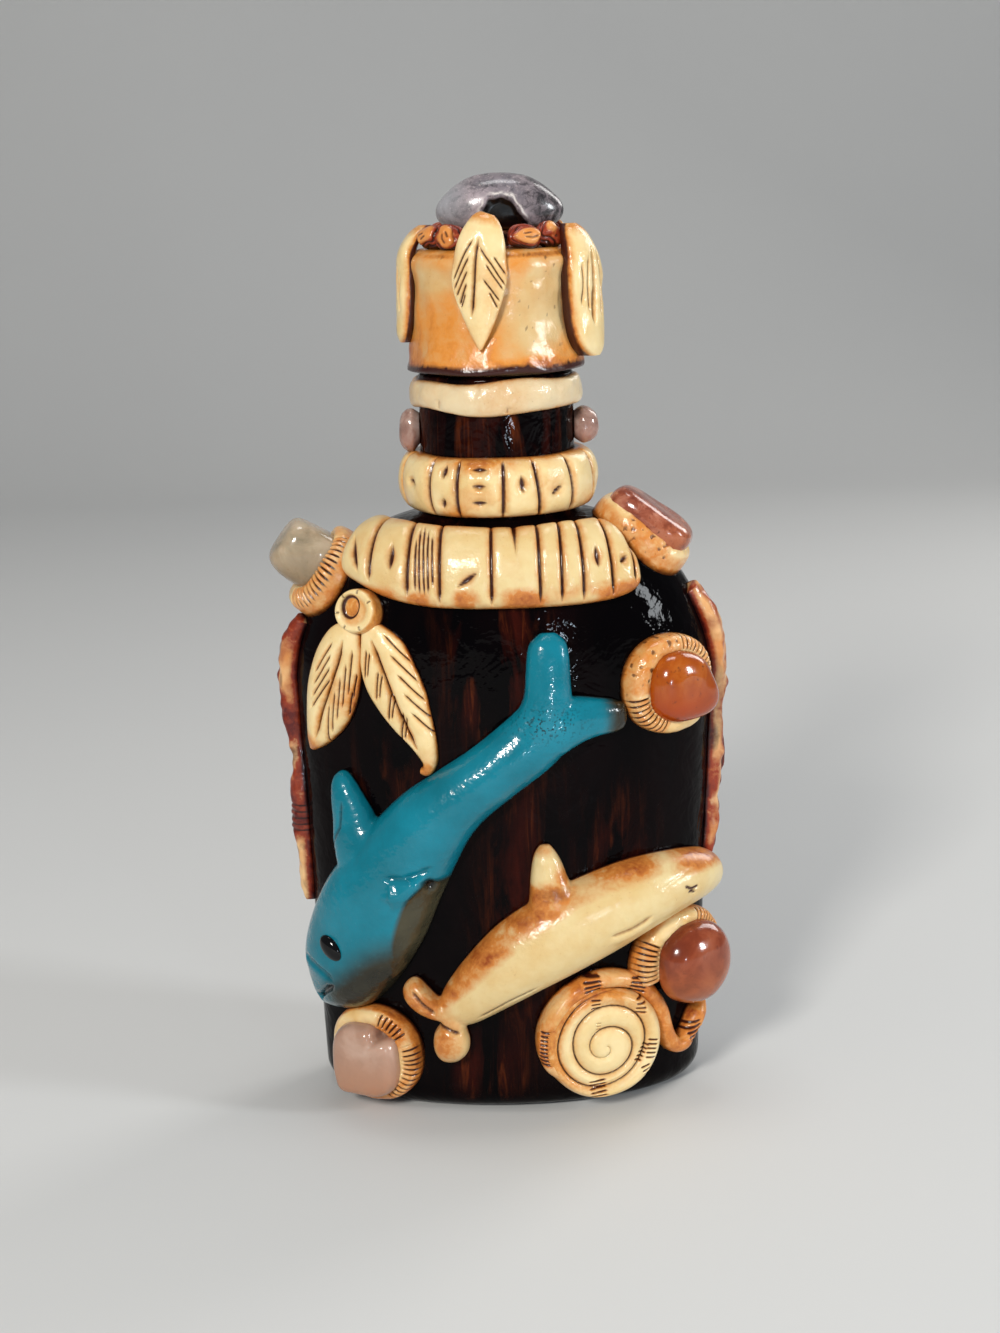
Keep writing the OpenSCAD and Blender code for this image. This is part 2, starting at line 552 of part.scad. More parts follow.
// The strap follows the spiral's edge, then doubles back up under the stone.
// The points of its lower loop are measured from the spiral's middle.
strap_loop = [[17.1, -2], [19.5, -5.8], [22.9, -6.2], [25.9, -3], [28.5, 1.2], [29.9, 4.6]];
module spiral_strap() {
    r = spiral[0] / 2 + strap[0] + 3 * clay_gap;
    path = concat([for (a = [125:-22:15]) r * [cos(a), sin(a)]], strap_loop);
    last = len(path) - 1;
    color(amber) strip([for (i = [0:last])
        let (p = spiral_at + path[i], taper = i == 0 || i == last ? 0.5 : 1)
        [p[0], p[1], strap[0] * taper, strap[1] * taper]]);
}

module cork_shank() {
    color("#b58a5a") translate([0, 0, lip_z - cork_len]) cylinder(r = bore_r - cork_fit, h = cork_len);
}

module stopper_head() {
    color("#8a6038") translate([0, 0, lip_z]) cylinder(d = head_d, h = head_h);
}

module cap_shell() {
    inner = head_d / 2 + head_gap;
    outer = [for (k = [0:8]) let (z = lerp(cap_z, cap_top - cap_round, k / 8)) [cap_r(z), z]];
    edge = cap_r(cap_top - cap_round) - cap_round;
    rounded = [for (a = [22.5:22.5:90]) [edge + cap_round * cos(a), cap_top - cap_round + cap_round * sin(a)]];
    color(amber) rotate_extrude() polygon(concat(
        outer, rounded, [[0, cap_top], [0, cap_top - cap_roof], [inner, cap_top - cap_roof], [inner, cap_z]]));
}

module cap_bed() {
    color(rust) translate([0, 0, cap_top]) cylinder(d = bed_size[0], h = bed_size[1]);
}

// Pellets lie between the leaves, with a flat where they are pressed on the cap
module cap_pellets() {
    inset = 1.2;
    ring_r = cap_top_r - pellet_d / 2 - inset;
    flat = 0.3;
    color(rust) for (turn = pellet_turns) rotate([0, 0, turn - 90]) translate([ring_r, 0, cap_top])
        intersection() {
            translate([0, 0, pellet_d / 2 - flat]) sphere(d = pellet_d);
            translate([-pellet_d, -pellet_d, 0]) cube(2 * pellet_d);
        }
}

// Rings of the top stone: share of its outline and share of its height
top_rings = [
    [0.1, 0], [0.5, 0], [0.8, 0.06], [0.96, 0.2], [1, 0.4], [0.93, 0.64], [0.74, 0.85], [0.44, 0.97], [0.1, 1],
];
module cap_top_stone() {
    foot = [top_stone_shift, 0, cap_top + bed_size[1] + clay_gap / 2];
    color("#6d6670") skin([for (ring = top_rings) [for (k = [0:pad_sides - 1])
        let (p = ring[0] * outline(top_stone, 360 * k / pad_sides))
        foot + [p[0], p[1], ring[1] * top_stone[2]]]]);
}

// Outline of a leaf: share of its length, of its half width and of its thickness
leaf_shape = [
    [0, 0.3, 0.6], [0.1, 0.7, 0.9], [0.3, 1, 1], [0.5, 0.95, 1], [0.75, 0.6, 0.9], [0.92, 0.25, 0.7],
    [1, 0.1, 0.4],
];
module cap_leaf(leaf) {
    path = [for (e = leaf_shape)
        [0, cap_top + leaf[1] - e[0] * leaf[2], e[1] * leaf_size[0], e[2] * leaf_size[1]]];
    color(ivory) strip(path, on_cap(leaf[0], leaf[3]));
}
module cap_leaf_front() { cap_leaf(leaves[0]); }
module cap_leaf_right() { cap_leaf(leaves[1]); }
module cap_leaf_back() { cap_leaf(leaves[2]); }
module cap_leaf_left() { cap_leaf(leaves[3]); }

bottle_glass();
neck_ring();
neck_band();
shoulder_band();
neck_stone_left();
neck_stone_right();
shoulder_stone_left();
shoulder_bezel_left();
shoulder_stone_right();
shoulder_bezel_right();
side_stone_right();
side_bezel_right();
base_stone_left();
base_bezel_left();
base_stone_right();
base_bezel_right();
feather_button();
feather_left();
feather_right();
vine_left();
vine_right();
blue_dolphin_body();
blue_dolphin_dorsal_fin();
blue_dolphin_flipper();
blue_dolphin_upper_fluke();
blue_dolphin_right_fluke();
blue_dolphin_eye();
cream_dolphin_body();
cream_dolphin_dorsal_fin();
cream_dolphin_left_fluke();
cream_dolphin_lower_fluke();
spiral_disc();
spiral_strap();
cork_shank();
stopper_head();
cap_shell();
cap_bed();
cap_pellets();
cap_top_stone();
cap_leaf_front();
cap_leaf_right();
cap_leaf_back();
cap_leaf_left();
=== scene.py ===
"""Looks of the decanter bottle: a dark glass flask with clay ornaments, set stones and a clay-capped cork.

Lengths are in millimetres until a mesh is made. A place on the glass is given by its arc from the front
centre line, measured round the glass, its height, and how far it stands off the glue.
"""
import functools
import math

import bpy
import numpy as np
from mathutils import Matrix, Vector


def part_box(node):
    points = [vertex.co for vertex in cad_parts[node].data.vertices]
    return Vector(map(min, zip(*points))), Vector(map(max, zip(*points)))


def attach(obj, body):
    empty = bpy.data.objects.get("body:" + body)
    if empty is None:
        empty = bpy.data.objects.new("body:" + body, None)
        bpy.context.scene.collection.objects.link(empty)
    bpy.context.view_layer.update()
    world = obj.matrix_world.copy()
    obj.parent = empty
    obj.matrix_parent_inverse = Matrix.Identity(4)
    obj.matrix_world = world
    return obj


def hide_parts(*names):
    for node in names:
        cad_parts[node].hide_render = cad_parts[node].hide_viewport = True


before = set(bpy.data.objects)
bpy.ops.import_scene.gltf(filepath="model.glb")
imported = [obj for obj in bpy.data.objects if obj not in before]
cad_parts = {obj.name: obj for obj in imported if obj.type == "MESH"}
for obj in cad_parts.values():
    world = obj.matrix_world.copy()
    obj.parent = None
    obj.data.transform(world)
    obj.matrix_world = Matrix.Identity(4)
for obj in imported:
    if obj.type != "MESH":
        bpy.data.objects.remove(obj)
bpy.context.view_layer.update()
MM = 0.001


def span(node):
    """A CAD node's lowest and highest corners."""
    return [np.array(corner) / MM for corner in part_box(node)]


# Sizes of the flask. SHOULDER and BASE are a half width and a half depth. The shoulder's curve would end at
# ROOT_R, inside the neck.
GLASS_HIGH = span("bottle_glass")[1]
LIP_Z = GLASS_HIGH[2]
SHOULDER = GLASS_HIGH[:2]
BASE = np.array([45.0, 24.5])
HEEL_R = 6.0
SHOULDER_Z = 100.0
NECK_Z = 138.0
NECK_R = 17.5
ROOT_R = 16.0
BORE_R = 12.0
WALL = 3.0
FLOOR_Z = 5.0
LIP_ROUND = 1.0

# Sizes of the cap
CAP_LOW, CAP_HIGH = span("cap_shell")
CAP_Z, CAP_TOP = CAP_LOW[2], CAP_HIGH[2]
CAP_H = CAP_TOP - CAP_Z
CAP_TOP_R = 18.5
CAP_FLARE = 1.8
CAP_ROUND = 3.0
CAP_INNER = 15.6
CAP_ROOF = 3.2

# Glue under the clay, how far the clay's foot sinks below the glue line, and the gap between clay pieces
GLUE = 0.35
NECK_GLUE = 0.1
SINK = 0.5
CLAY_GAP = 0.2


# Curves, unevenness and carved strokes

def smooth(rows, steps):
    """Rows along a smooth curve through the given ones."""
    rows = np.asarray(rows, float)
    padded = np.vstack([rows[:1], rows, rows[-1:]])
    t = (np.arange(steps) / steps)[:, None]
    parts = []
    for p, q, r, s in zip(padded, padded[1:], padded[2:], padded[3:]):
        bend, twist = 2 * p - 5 * q + 4 * r - s, 3 * q - p - 3 * r + s
        parts.append((2 * q + (r - p) * t + bend * t**2 + twist * t**3) / 2)
    return np.vstack(parts + [rows[-1:]])


def lumps(points, size, seed):
    """Smooth unevenness of about -1 to 1 with bumps of about the given size."""
    draw = np.random.default_rng(seed)
    total = np.zeros(points.shape[:-1])
    waves = 16
    for _ in range(waves):
        way = draw.normal(size=3)
        way *= 2 * math.pi / (size * draw.uniform(1.3, 3.2) * np.linalg.norm(way))
        total += np.sin(points @ way + draw.uniform(0, 2 * math.pi))
    return total / math.sqrt(2 * waves)


def ramp(x, low, high):
    """0 below the first value, 1 above the second, and smooth between them."""
    t = np.clip((x - low) / (high - low), 0, 1)
    return t * t * (3 - 2 * t)


def fall(x, low, high):
    """1 below the first value, 0 above the second, and smooth between them."""
    return 1 - ramp(x, low, high)


def bell(x, middle, reach):
    """1 at its middle and nearly 0 at twice its reach."""
    return np.exp(-((x - middle) / reach) ** 2)


def spot_mask(a, b, middle, reach):
    """A soft round mask, 1 at its middle."""
    return bell(a, middle[0], reach[0]) * bell(b, middle[1], reach[1])


def most(*masks):
    """The greatest of the masks at each place."""
    return np.maximum.reduce(masks)


LINE_END, LINE_FADE = 0.45, 5
THIN_END = 0.15


def fade(share, shape):
    """Strength of a stroke along its length: a line, a lens thin at both ends, or a wedge thin at one."""
    if shape == "line":
        return np.clip(LINE_END + LINE_FADE * np.minimum(share, 1 - share), 0, 1)
    swell = 1 + THIN_END - share if shape == "wedge" else 4 * share * (1 - share)
    return np.clip(swell, THIN_END, 1)


def stroke(a, b, points, width, shape="line"):
    """How deep a carved stroke cuts at each place a, b, from 0 to 1. Its points are such places."""
    points = np.asarray(points, float)
    lengths = np.linalg.norm(np.diff(points, axis=0), axis=1)
    starts = np.r_[0, np.cumsum(lengths)]
    depth = np.zeros(np.shape(a))
    for p, q, length, start in zip(points, points[1:], lengths, starts):
        way = (q - p) / length
        run = np.clip((a - p[0]) * way[0] + (b - p[1]) * way[1], 0, length)
        gap = np.hypot(a - p[0] - run * way[0], b - p[1] - run * way[1])
        ease = fade((start + run) / starts[-1], shape)
        depth = np.maximum(depth, ease * bell(gap, 0, width * ease))
    return depth


def strokes(a, b, lines, width):
    """Several carved strokes of one width."""
    return most(*(stroke(a, b, points, width) for points in lines))


def row_of(start, step, way, count):
    """Parallel straight strokes, each a step on from the last."""
    start, step, way = (np.array(v, float) for v in (start, step, way))
    return [[start + k * step, start + k * step + way] for k in range(count)]


# Places round the bottle

def full_turn(count):
    """Equal angles once round."""
    return np.linspace(0, 2 * math.pi, count, endpoint=False)


def oval(wide, deep, turn, z):
    """Points at half a width and half a depth from the bottle's axis. A turn of 0 is in front."""
    return np.stack(np.broadcast_arrays(wide * np.sin(turn), -deep * np.cos(turn), z), axis=-1)


def turned(r, turn, z):
    """Points at a radius from the bottle's axis."""
    return oval(r, r, turn, z)


CREASE_POWER = 16
CREASE_TOP = NECK_Z + 1


def glass_half(z, axis):
    """Half width (axis 0) or half depth (axis 1) of the glass at each height, softly creased at the neck."""
    z = np.asarray(z, float)
    low, high = BASE[axis], SHOULDER[axis]
    heel = low - HEEL_R + np.sqrt(np.clip(HEEL_R**2 - (HEEL_R - np.clip(z, 0, HEEL_R)) ** 2, 0, None))
    flank = low + (high - low) * (z - HEEL_R) / (SHOULDER_Z - HEEL_R)
    rise = np.clip((z - SHOULDER_Z) / (NECK_Z - SHOULDER_Z), 0, 1)
    shoulder = ROOT_R + (high - ROOT_R) * np.sqrt(1 - rise**2)
    blended = (shoulder**CREASE_POWER + NECK_R**CREASE_POWER) ** (1 / CREASE_POWER)
    return np.select([z < HEEL_R, z < SHOULDER_Z, z > CREASE_TOP], [heel, flank, NECK_R], blended)


def turn_at(arc, z):
    """Angle round the bottle at which the arc from the front centre line reaches a length."""
    wide, deep = glass_half(z, 0), glass_half(z, 1)
    between = np.sqrt((wide * wide + deep * deep) / 2)
    # The arc grows with the turn by about mean + twice * cos(2 * turn) + four * cos(4 * turn)
    mean, twice, four = (wide + deep + 2 * between) / 4, (wide - deep) / 2, (wide + deep - 2 * between) / 4
    turn = arc / mean
    for _ in range(6):
        length = mean * turn + twice / 2 * np.sin(2 * turn) + four / 4 * np.sin(4 * turn)
        turn = turn + (arc - length) / (mean + twice * np.cos(2 * turn) + four * np.cos(4 * turn))
    return turn


def glass_point(turn, z):
    """Points on the glass itself."""
    return oval(glass_half(z, 0), glass_half(z, 1), turn, z)


def glass_normal(turn, z):
    """The way out of the glass."""
    wide, deep = glass_half(z, 0), glass_half(z, 1)
    step = 0.05
    widens, deepens = ((glass_half(z + step, axis) - glass_half(z - step, axis)) / (2 * step)
                       for axis in (0, 1))
    rise = -(np.sin(turn) ** 2 * widens / wide + np.cos(turn) ** 2 * deepens / deep)
    way = oval(1 / wide, 1 / deep, turn, rise)
    return way / np.linalg.norm(way, axis=-1, keepdims=True)


def on_glass(arc, z, off):
    """Points that stand off the glue line at the given arcs and heights."""
    arc, z, off = np.broadcast_arrays(*(np.asarray(v, float) for v in (arc, z, off)))
    turn = turn_at(arc, z)
    return glass_point(turn, z) + (GLUE + off)[..., None] * glass_normal(turn, z)


def on_neck(arc, z, off):
    """The same round the straight neck, where the arc is measured on the neck itself."""
    return turned(NECK_R + NECK_GLUE + off, arc / NECK_R, z)


def flat(a, b, off):
    """A flat place, where figures are modelled before they are bent round the glass."""
    return np.stack(np.broadcast_arrays(a, b, off), axis=-1)


def cap_r(z):
    """The cap's radius, which flares towards its foot."""
    return CAP_TOP_R + CAP_FLARE * (1 - (z - CAP_Z) / CAP_H) ** 3


def on_cap(turn, stand, early, bend):
    """Places on the cap, by the arc from a leaf's own middle line. The leaf's top bends in over the rim.

    Its face may stand off the cap, from early above the rim, and less at its left edge than at its right.
    """
    bend_z = CAP_TOP - CAP_ROUND
    face_off = 0.6
    left_edge, right_edge, left_share = -6.5, 3.5, 0.4

    def place(arc, z, off):
        back = cap_r(np.minimum(z, bend_z)) - bend * np.maximum(0, z - bend_z) ** 2
        away = stand * np.sin(math.pi / 2 * np.clip((CAP_TOP + early - z) / CAP_H * 2, 0, 1))
        away = away * (left_share + (1 - left_share) * ramp(arc, left_edge, right_edge))
        away = away * ramp(off, -SINK, face_off)
        return turned(back + CLAY_GAP + away + off, math.radians(turn) + arc / cap_r(CAP_Z), z)
    return place


class Spot:
    """A flat frame that touches the glass at one place, for stones and discs."""

    def __init__(self, turn, z):
        self.foot, self.out = glass_point(turn, z), glass_normal(turn, z)
        side = np.array([math.cos(turn), math.sin(turn), 0])
        side -= self.out * (side @ self.out)
        self.side = side / np.linalg.norm(side)
        self.up = np.cross(self.out, self.side)

    @classmethod
    def by_arc(cls, arc, z):
        return cls(float(turn_at(np.float64(arc), z)), np.float64(z))

    @classmethod
    def by_angle(cls, degrees, z):
        return cls(math.radians(degrees), np.float64(z))

    def at(self, x, y, off):
        return self.foot + flat(x, y, off) @ np.array([self.side, self.up, self.out])

    def drop(self, x, y):
        """How far the glass lies below the frame's plane."""
        low, high = np.full(x.shape, -1.0), np.full(x.shape, 9.0)
        for _ in range(16):
            mid = (low + high) / 2
            px, py, pz = np.moveaxis(self.at(x, y, -mid), -1, 0)
            outside = (px / glass_half(pz, 0)) ** 2 + (py / glass_half(pz, 1)) ** 2 > 1
            low, high = np.where(outside, mid, low), np.where(outside, high, mid)
        return (low + high) / 2

    def laid(self, follow, top):
        """Places for clay laid round the spot: its foot follows the glass, and its face only in part."""
        def place(x, y, off):
            share = 1 - (1 - follow) * np.clip(off / top, 0, 1)
            return self.at(x, y, GLUE + off - share * self.drop(x, y))
        return place


# Meshes

def added(name, data):
    """A new object in the scene."""
    made = bpy.data.objects.new(name, data)
    bpy.context.scene.collection.objects.link(made)
    return made


def mesh_of(name, points, faces):
    """A new mesh, with its points as given."""
    mesh = bpy.data.meshes.new(name)
    mesh.from_pydata(np.reshape(points, (-1, 3)).tolist(), [], faces)
    return mesh


def loft(shape, loop=False):
    """Faces over a grid of closed rings, with its two ends capped unless the rings form a loop."""
    rows, columns = shape
    index = np.arange(rows * columns).reshape(rows, columns)
    ahead = np.roll(index, -1, axis=0) if loop else index[1:]
    here = index if loop else index[:-1]
    quads = np.stack([here, np.roll(here, -1, axis=1), np.roll(ahead, -1, axis=1), ahead], axis=-1)
    faces = quads.reshape(-1, 4).tolist()
    if not loop:
        faces += [index[0, ::-1].tolist(), index[-1].tolist()]
    return faces


def joined(grids):
    """Points and faces of several lofts as one mesh."""
    points, faces = [], []
    for grid in grids:
        start = sum(len(p) for p in points)
        points.append(grid.reshape(-1, 3))
        faces += [[start + i for i in face] for face in loft(grid.shape[:2])]
    return np.vstack(points), faces


def piece(name, points, look, slot, nodes, body="bottle", faces=None, **masks):
    """A mesh piece that stands for CAD nodes, lofted by default. Its material reads masks at its points."""
    mesh = mesh_of(name, points * MM, faces or loft(points.shape[:2]))
    mesh.calc_loop_triangles()
    corners = [mesh.vertices[i].co for triangle in mesh.loop_triangles for i in triangle.vertices]
    one, two, three = np.array(corners).reshape(-1, 3, 3).transpose(1, 0, 2)
    if np.einsum("ij,ij->", one, np.cross(two, three)) < 0:
        mesh.flip_normals()
    mesh.shade_smooth()
    for mask, values in masks.items():
        layer = mesh.attributes.new(mask, "FLOAT", "POINT")
        layer.data.foreach_set("value", np.clip(values, 0, 1).astype(np.float32).ravel())
    mesh.materials.append(look)
    made = added(name, mesh)
    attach(made, body)
    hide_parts(*nodes)
    return made


def lines_of(stations, steps):
    """Lines across a path of (arc, height, half width, thickness) stations, from its left to its right."""
    fine = smooth(stations, steps)
    ahead = np.gradient(fine[:, :2], axis=0)
    ahead /= np.linalg.norm(ahead, axis=1)[:, None]
    left = np.stack([-ahead[:, 1], ahead[:, 0]], axis=1) * fine[:, 2:3]
    return np.hstack([fine[:, :2] + left, fine[:, :2] - left, fine[:, 3:4]])


class Relief:
    """Clay laid over a surface in rows of lines, with its height and its colour masks at each place."""

    # The largest share of the clay that a cut takes away, and the share of a stroke that is its wide valley
    DEEPEST = 0.7
    VALLEY = 0.3

    def __init__(self, lines, place, across, fullness, loop=False):
        lines = np.asarray(lines, float)
        self.place, self.loop = place, loop
        # Arcs and heights of the grid, then the way along it, to its side and across it as a share
        t = (1 - np.cos(np.linspace(0, math.pi, across))) / 2
        left, right = lines[:, None, 0:2], lines[:, None, 2:4]
        spots = left + (right - left) * t[:, None]
        self.a, self.b = spots[..., 0], spots[..., 1]
        middle = (lines[:, 0:2] + lines[:, 2:4]) / 2
        run = np.r_[0, np.cumsum(np.linalg.norm(np.diff(middle, axis=0), axis=1))]
        self.length = run[-1]
        self.along = np.repeat(run[:, None], across, axis=1)
        self.side = (0.5 - t) * np.linalg.norm(right - left, axis=2)
        self.across = np.repeat(t[None], len(lines), axis=0)
        arch = np.sqrt(np.clip(1 - (2 * t - 1) ** 2, 0, 1)) ** fullness
        self.h = -SINK + (lines[:, 4:5] + SINK) * arch
        self.stain_and_shade = np.zeros(self.h.shape)
        self.warm = np.zeros(self.h.shape)

    def lumps(self, size, seed):
        return lumps(self.place(self.a, self.b, self.h), size, seed)

    def sink(self, depth, pattern):
        self.h = self.h - np.minimum(depth, self.DEEPEST * np.maximum(self.h, 0)) * pattern

    def carve(self, lines, depth, width, grid=None, halo=0.5, spread=2.8, shape="line"):
        """Cuts strokes, given by arcs and heights or on another grid, with warm wash round them."""
        a, b = grid or (self.a, self.b)
        for points in lines:
            cut, around = (stroke(a, b, points, w, shape) for w in (width, spread * width))
            self.sink(depth, (1 - self.VALLEY) * cut + self.VALLEY * around)
            self.stain_and_shade = np.maximum(self.stain_and_shade, cut)
            self.warm = np.maximum(self.warm, halo * around)
        return self

    def press(self, pattern, depth, stain_and_shade=1.0):
        """Presses a pattern of 0 to 1 into the clay."""
        self.sink(depth, pattern)
        self.stain_and_shade = np.maximum(self.stain_and_shade, stain_and_shade * pattern)
        return self

    def roughen(self, amount, size, seed):
        """Makes the clay uneven, and less so towards its foot."""
        self.h = self.h + amount * self.lumps(size, seed) * np.clip((self.h + SINK) / 1.5, 0, 1)
        return self

    def wash(self, reach, amount, seed, warm):
        """Dark wash and painted shade near the clay's foot, warm colour above it, and uneven warm patches
        over the rest.
        """
        uneven = self.lumps(8.0, seed)
        foot, flank = (np.clip(1 - self.h / high, 0, 1) ** 1.5 for high in (reach, 2.4 * reach))
        # Darker towards the foot, where the clay meets the glass: dark wash and painted shade
        self.stain_and_shade = np.maximum(self.stain_and_shade, amount * foot * (0.75 + 0.35 * uneven))
        return self.tint(np.clip(warm * ramp(uneven, -0.2, 1.2) + 1.3 * flank, 0, 1))

    def tint(self, mask):
        """Warm colour where a mask says."""
        self.warm = np.maximum(self.warm, mask)
        return self

    def rings(self):
        """Closed rings of points: over the clay's face and back along its foot."""
        t = np.linspace(1, 0, 9)[1:-1]
        low_a, low_b = (g[:, :1] + (g[:, -1:] - g[:, :1]) * t for g in (self.a, self.b))
        floor = self.place(low_a, low_b, np.full(low_a.shape, -SINK))
        return np.concatenate([self.place(self.a, self.b, self.h), floor], axis=1)

    def piece(self, name, look, slot, nodes, body="bottle"):
        rings = self.rings()
        hidden = ((0, 0), (0, rings.shape[1] - self.h.shape[1]))
        return piece(name, rings, look, slot, nodes, body, loft(rings.shape[:2], self.loop),
                     stain_and_shade=np.pad(self.stain_and_shade, hidden), warm=np.pad(self.warm, hidden))


# Materials

def rgb(code):
    """Linear colour from a hexadecimal one."""
    parts = [int(code[i:i + 2], 16) / 255 for i in (1, 3, 5)]
    return tuple(c / 12.92 if c <= 0.04045 else ((c + 0.055) / 1.055) ** 2.4 for c in parts) + (1.0,)


class Look:
    """A node material. Texture scales are per millimetre."""

    # The colour sockets of a mix node, by number
    SHARE, UNDER, OVER, MIXED = 0, 6, 7, 2

    def __init__(self, name, **uniform):
        self.material = bpy.data.materials.new(name)
        self.material.use_nodes = True
        self.nodes, self.links = self.material.node_tree.nodes, self.material.node_tree.links
        self.shader = self.nodes["Principled BSDF"]
        self.coords = self.nodes.new("ShaderNodeTexCoord").outputs["Object"]
        self.fill(self.shader, {socket.replace("_", " "): value for socket, value in uniform.items()})

    def fill(self, node, inputs):
        """Sets or links a node's inputs, given by name or number."""
        for socket, value in inputs.items():
            if isinstance(value, bpy.types.NodeSocket):
                self.links.new(value, node.inputs[socket])
            else:
                node.inputs[socket].default_value = rgb(value) if isinstance(value, str) else value
        return node

    def make(self, kind, inputs):
        return self.fill(self.nodes.new("ShaderNode" + kind), inputs)

    def mask(self, name):
        node = self.make("Attribute", {})
        node.attribute_name = name
        return node.outputs["Fac"]

    def scaled(self, scale, stretch=(1, 1, 1), shift=0.0):
        """Where a texture of this scale is read."""
        scales = [s * scale / MM for s in stretch]
        node = self.make("Mapping", {"Vector": self.coords, "Scale": scales, "Location": [shift] * 3})
        return {"Vector": node.outputs["Vector"], "Scale": 1}

    def noise(self, scale, detail=4, rough=0.55, warp=0.0, stretch=(1, 1, 1), shift=0.0):
        grain = {"Detail": detail, "Roughness": rough, "Distortion": warp}
        return self.make("TexNoise", {**self.scaled(scale, stretch, shift), **grain}).outputs["Fac"]

    def cells(self, scale):
        """Distance to the edges of cells."""
        node = self.make("TexVoronoi", self.scaled(scale))
        node.feature = "DISTANCE_TO_EDGE"
        return node.outputs["Distance"]

    def level(self, value, low, high):
        """0 to 1 as a value goes from the first limit to the second."""
        return self.make("MapRange", {"Value": value, "From Min": low, "From Max": high}).outputs["Result"]

    def maths(self, operation, one, two):
        node = self.make("Math", {0: one, 1: two})
        node.operation = operation
        return node.outputs[0]

    def times(self, one, two):
        return self.maths("MULTIPLY", one, two)

    def plus(self, one, two):
        return self.maths("ADD", one, two)

    def layer(self, under, over, *shares):
        """One colour over another, by the product of the shares."""
        node = self.nodes.new("ShaderNodeMix")
        node.data_type = "RGBA"
        share = functools.reduce(self.times, shares)
        return self.fill(node, {self.SHARE: share, self.UNDER: under, self.OVER: over}).outputs[self.MIXED]

    def colour(self, tone):
        self.fill(self.shader, {"Base Color": tone})

    def rough(self, value, low, high):
        """Roughness from one limit to the other as a value goes from 0 to 1."""
        node = self.make("MapRange", {"Value": value, "To Min": low, "To Max": high})
        self.fill(self.shader, {"Roughness": node.outputs["Result"]})

    def bump(self, *layers):
        """Stacks bumps, each a height and its depth in millimetres."""
        below = {}
        for height, depth in layers:
            node = self.make("Bump", {"Strength": 1, "Distance": depth * MM, "Height": height, **below})
            below = {"Normal": node.outputs["Normal"]}
        self.fill(self.shader, {**below, "Coat Normal": node.outputs["Normal"]})


def clay(name, pale, mid, warm, deep, dark, shift=0.0, even=0.1):
    """Varnished polymer clay: pale on its high places, with a warm wash, dark brown left in its cuts and
    painted shade near its foot.
    """
    look = Look(name, Coat_Weight=0.5, Coat_Roughness=0.1, Coat_IOR=1.5, Specular_IOR_Level=0.2,
                Subsurface_Weight=0.06, Subsurface_Radius=(1.0, 0.5, 0.25), Subsurface_Scale=0.6 * MM)
    broad, patch = look.noise(0.12, 3, shift=shift), look.noise(0.4, 3, 0.5, 0.6, shift=shift)
    fine, grit = look.noise(1.2, 4, shift=shift), look.noise(2.6, 2)
    tone = look.layer(pale, mid, look.level(broad, 0.38, 0.66))
    uneven = look.plus(look.times(patch, 0.8), look.times(fine, 0.4))
    washed = look.times(look.mask("warm"), look.level(uneven, even, 0.75))
    tone = look.layer(tone, warm, look.level(washed, 0.08, 0.5))
    tone = look.layer(tone, deep, look.level(washed, 0.5, 0.95))
    tone = look.layer(tone, deep, look.level(grit, 0.68, 0.74), look.level(broad, 0.46, 0.6), 0.5)
    # Dark brown left in the cuts, and painted shade near the clay's foot
    cuts = look.level(look.plus(look.mask("stain_and_shade"), look.times(fine, 0.25)), 0.34, 0.85)
    look.colour(look.layer(tone, dark, cuts))
    look.rough(fine, 0.24, 0.42)
    look.bump((broad, 0.25), (patch, 0.12), (fine, 0.07), (grit, 0.025))
    return look.material


def teal_clay():
    """Teal clay whose warm places are olive, partly stain and partly painted shade, with dark specks and
    cuts, and painted shade near its foot.
    """
    look = Look("teal_clay", Coat_Weight=0.5, Coat_Roughness=0.06, Coat_IOR=1.5, Specular_IOR_Level=0.15)
    broad, fine = look.noise(0.07, 3), look.noise(0.8, 4)
    cloud = look.level(broad, 0.3, 0.7)
    warm = look.times(look.mask("warm"), look.level(fine, -0.4, 0.4))
    tone = look.layer("#066474", "#107c90", cloud)
    # Olive where the warm mask says: brown stain, and painted shade on the belly, chin and low edges
    tone = look.layer(tone, look.layer("#24231a", "#454130", cloud), look.level(warm, 0.08, 0.85))
    tone = look.layer(tone, "#0b1a1c", look.mask("specks"), look.level(look.noise(1.5, 2), 0.56, 0.62))
    # Nearly black in the cuts, in the painted shadow under the flipper and in painted shade at the foot
    cuts = look.level(look.plus(look.mask("stain_and_shade"), look.times(fine, 0.3)), 0.3, 0.95)
    look.colour(look.layer(tone, "#060908", cuts))
    look.rough(fine, 0.18, 0.32)
    look.bump((look.noise(0.2, 3, 0.6), 0.35), (fine, 0.04))
    return look.material


def dark_glass():
    """Nearly black glass under uneven varnish, with dark red-brown blotches that run down it."""
    look = Look("dark_glass", Coat_Weight=0.08, Coat_Roughness=0.03, Coat_IOR=1.45, Specular_IOR_Level=0.03)
    blotch = look.noise(0.1, 5, 0.6, 0.9, stretch=(1, 1, 0.22))
    fibres = look.noise(0.42, 5, 0.62, 0.8, stretch=(1, 1, 0.1))
    broad = look.noise(0.05, 3, stretch=(1, 1, 0.5))
    stained = look.times(look.level(blotch, 0.42, 0.62), look.mask("streak"))
    tone = look.layer("#030203", "#0a0405", look.level(broad, 0.4, 0.7))
    tone = look.layer(tone, "#3a110a", stained)
    look.colour(look.layer(tone, "#86401a", look.level(fibres, 0.5, 0.72), stained))
    look.rough(broad, 0.03, 0.08)
    look.bump((look.noise(0.11, 3, 0.6, 0.6), 0.5), (look.noise(0.5, 3), 0.08))
    return look.material


